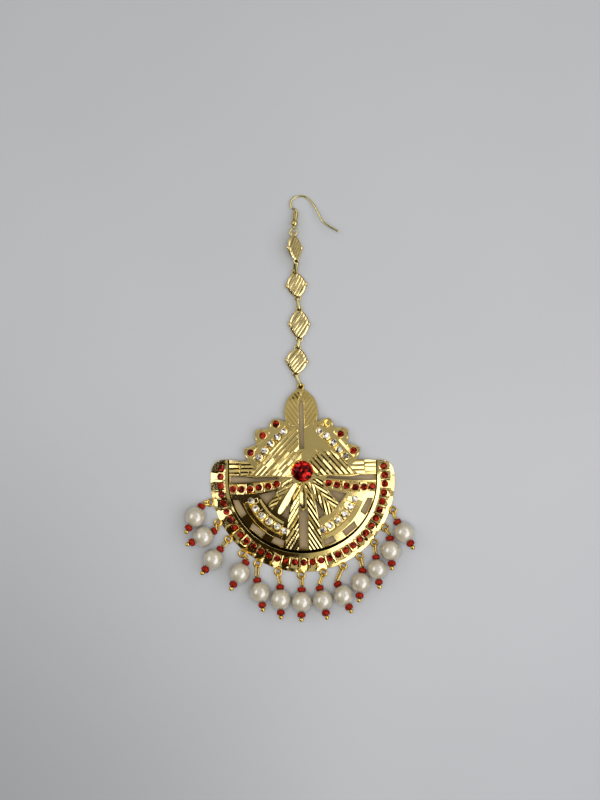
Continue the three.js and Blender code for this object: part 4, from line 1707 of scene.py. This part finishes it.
def gilt_glow():
    """A sheet just over the table under the plate, with painted shade and painted light: the table's
    shade under the plate, tinted warm by the light that the gilt throws on it.
    """
    n = Nodes("gilt_glow")
    n.set(Roughness=0.9)
    # Painted shade warmed by the gilt's light, lighter near the plate's middle.
    stops = [(0.1, (0.36, 0.285, 0.18)), (0.8, (0.265, 0.20, 0.118))]
    mottle = n.ramp(n.noise(0.08, 2), [(0.3, 0.9), (0.7, 1.0)])
    tone = n.mix(1.0, n.ramp(n.away(1.0, -5.0, 40.0), stops, smooth=True), mottle, "MULTIPLY")
    n.link(tone, n.shader.inputs["Base Color"])
    return n.material


# ---- light, camera and table


def direction(azimuth, from_zenith):
    a, z = math.radians(azimuth), math.radians(from_zenith)
    return Vector((math.sin(z) * math.cos(a), math.sin(z) * math.sin(a), math.cos(z)))


def surroundings():
    """The studio as a soft sky: dim overhead, pale round that, dim again near the horizon, and dark
    at the lower left."""
    world = bpy.data.worlds.new("studio")
    bpy.context.scene.world = world
    world.use_nodes = True
    tree = world.node_tree
    coords = new_node(tree, "TexCoord")

    def patch(azimuth, from_zenith, inner, outer):
        """1 in a round patch of sky, falling to 0 between two angles from its middle."""
        dot = new_node(tree, "VectorMath", operation="DOT_PRODUCT")
        dot.inputs[1].default_value = direction(azimuth, from_zenith)
        tree.links.new(coords.outputs["Generated"], dot.inputs[0])
        edge = new_node(tree, "MapRange", interpolation_type="SMOOTHSTEP")
        edge.inputs["From Min"].default_value = math.cos(math.radians(outer))
        edge.inputs["From Max"].default_value = math.cos(math.radians(inner))
        tree.links.new(dot.outputs["Value"], edge.inputs["Value"])
        return edge.outputs["Result"]

    horizon, pale = (0.20, 0.19, 0.17), (0.60, 0.60, 0.59)
    zenith, shadow = (0.38, 0.38, 0.38), (0.02, 0.013, 0.006)
    sky = mixed(tree, patch(0, 0, 62, 84), horizon, pale)
    sky = mixed(tree, patch(0, 0, 15, 44), sky, zenith)
    sky = mixed(tree, patch(226, 47, 29, 42), sky, shadow)
    tree.links.new(sky, tree.nodes["Background"].inputs["Color"])


def soft_light(name, azimuth, from_zenith, distance, wide, high, radiance):
    """An oval soft box that faces the object, as wide and as high as two angles in degrees."""
    data = bpy.data.lights.new(name, "AREA")
    data.shape = "ELLIPSE"
    data.size = 2 * distance * math.tan(math.radians(wide / 2))
    data.size_y = 2 * distance * math.tan(math.radians(high / 2))
    data.color = (0.97, 1.0, 1.2)
    data.energy = radiance * math.pi * math.pi * data.size * data.size_y / 4
    obj = bpy.data.objects.new(name, data)
    toward = direction(azimuth, from_zenith)
    obj.location = toward * distance
    obj.rotation_euler = toward.to_track_quat("Z", "Y").to_euler()
    bpy.context.scene.collection.objects.link(obj)
    return obj


def fill_light():
    """A fill from overhead, which mirrors don't show. What it shades lies right under the object, so
    that the shadows beside it stay faint."""
    fill = soft_light("overhead_fill", 0, 0, 1.0, 40, 40, 8.4)
    fill.data.color = (1.0, 0.99, 0.93)
    fill.visible_glossy = False


# The soft boxes: where each stands and how wide and high it looks, in degrees, and how bright it is.
SOFT_BOXES = [
    {"name": "right_softbox", "azimuth": -28, "from_zenith": 43, "wide": 64, "high": 38, "radiance": 2.3},
    {"name": "left_softbox", "azimuth": 170, "from_zenith": 42, "wide": 46, "high": 28, "radiance": 2.2},
    {"name": "upper_softbox", "azimuth": 38, "from_zenith": 46, "wide": 32, "high": 28, "radiance": 1.6},
]


def lights():
    for box in SOFT_BOXES:
        soft_light(distance=0.9, **box)


def camera():
    """Straight overhead, with the frame of a portrait photograph."""
    data = bpy.data.cameras.new("overhead")
    data.lens = 60
    data.clip_start, data.clip_end = 0.01, 10
    obj = bpy.data.objects.new("overhead", data)
    obj.location = ((ORIGIN.x - 1.09) * MM, (ORIGIN.y + 33.6) * MM, 0.5604)
    bpy.context.scene.collection.objects.link(obj)
    bpy.context.scene.camera = obj
    bpy.context.scene.view_settings.view_transform = "Standard"


def stage_plate(name, points, height, material):
    """A flat piece of the stage."""
    mesh = bpy.data.meshes.new(name)
    mesh.from_pydata([(x, y, height) for x, y in points], [], [tuple(range(len(points)))])
    mesh.materials.append(material)
    obj = bpy.data.objects.new(name, mesh)
    bpy.context.scene.collection.objects.link(obj)


def table():
    reach = 2.5
    corners = [(-reach, -reach), (reach, -reach), (reach, reach), (-reach, reach)]
    stage_plate("table", corners, 0, table_top())
    under = [turned(p) for p in inset(fan_outline(), 0.4)]
    under = [((x + ORIGIN.x) * MM, (y + ORIGIN.y) * MM) for x, y in under]
    if signed_area(under) < 0:
        under.reverse()
    # A sheet just over the table, painted with the shade and the gilt's warm light under the plate.
    stage_plate("painted_glow_and_shade_under_plate", under, 0.05 * MM, gilt_glow())


camera()
surroundings()
lights()
fill_light()
table()

PLATE_GILT = gilt("plate_gilt", (0.89, 0.69, 0.255), (0.85, 0.64, 0.22), 0.07, 0.18, 0.18)
LINK_GILT = gilt("link_gilt", (0.88, 0.70, 0.31), (0.79, 0.61, 0.24), 0.14, 0.26, 0.18)
WIRE_GILT = gilt("wire_gilt", (0.80, 0.55, 0.13), (0.56, 0.36, 0.06), 0.08, 0.2, 0.2)
# A near-black gilt that is painted shade: in the flutes' grooves, the rim's trenches, the links' valleys
# and the jump rings' ends.
PAINTED_SHADE_GILT = gilt("painted_shade_gilt", (0.085, 0.055, 0.017), (0.035, 0.022, 0.009), 0.25, 0.4, 0.1)
HOOK_GILT = gilt("hook_gilt", (0.74, 0.63, 0.26), (0.60, 0.49, 0.16), 0.14, 0.28, 0.2)
SEAT_GILT = gilt("seat_gilt", (0.90, 0.56, 0.10), (0.80, 0.42, 0.06), 0.12, 0.25, 0.2)

fan_sheet(PLATE_GILT, PAINTED_SHADE_GILT)
rim_band(PLATE_GILT, PAINTED_SHADE_GILT)
eyelets(WIRE_GILT)
centre_bezel(PLATE_GILT)
centre_stone(centre_glass())
stones_and_settings(red_glass(), clear_glass(), PLATE_GILT, SEAT_GILT)
drops(pearl_coat(), WIRE_GILT, seed_glass())
links(LINK_GILT, PAINTED_SHADE_GILT)
jump_rings(HOOK_GILT, PAINTED_SHADE_GILT)
hair_hook(HOOK_GILT)
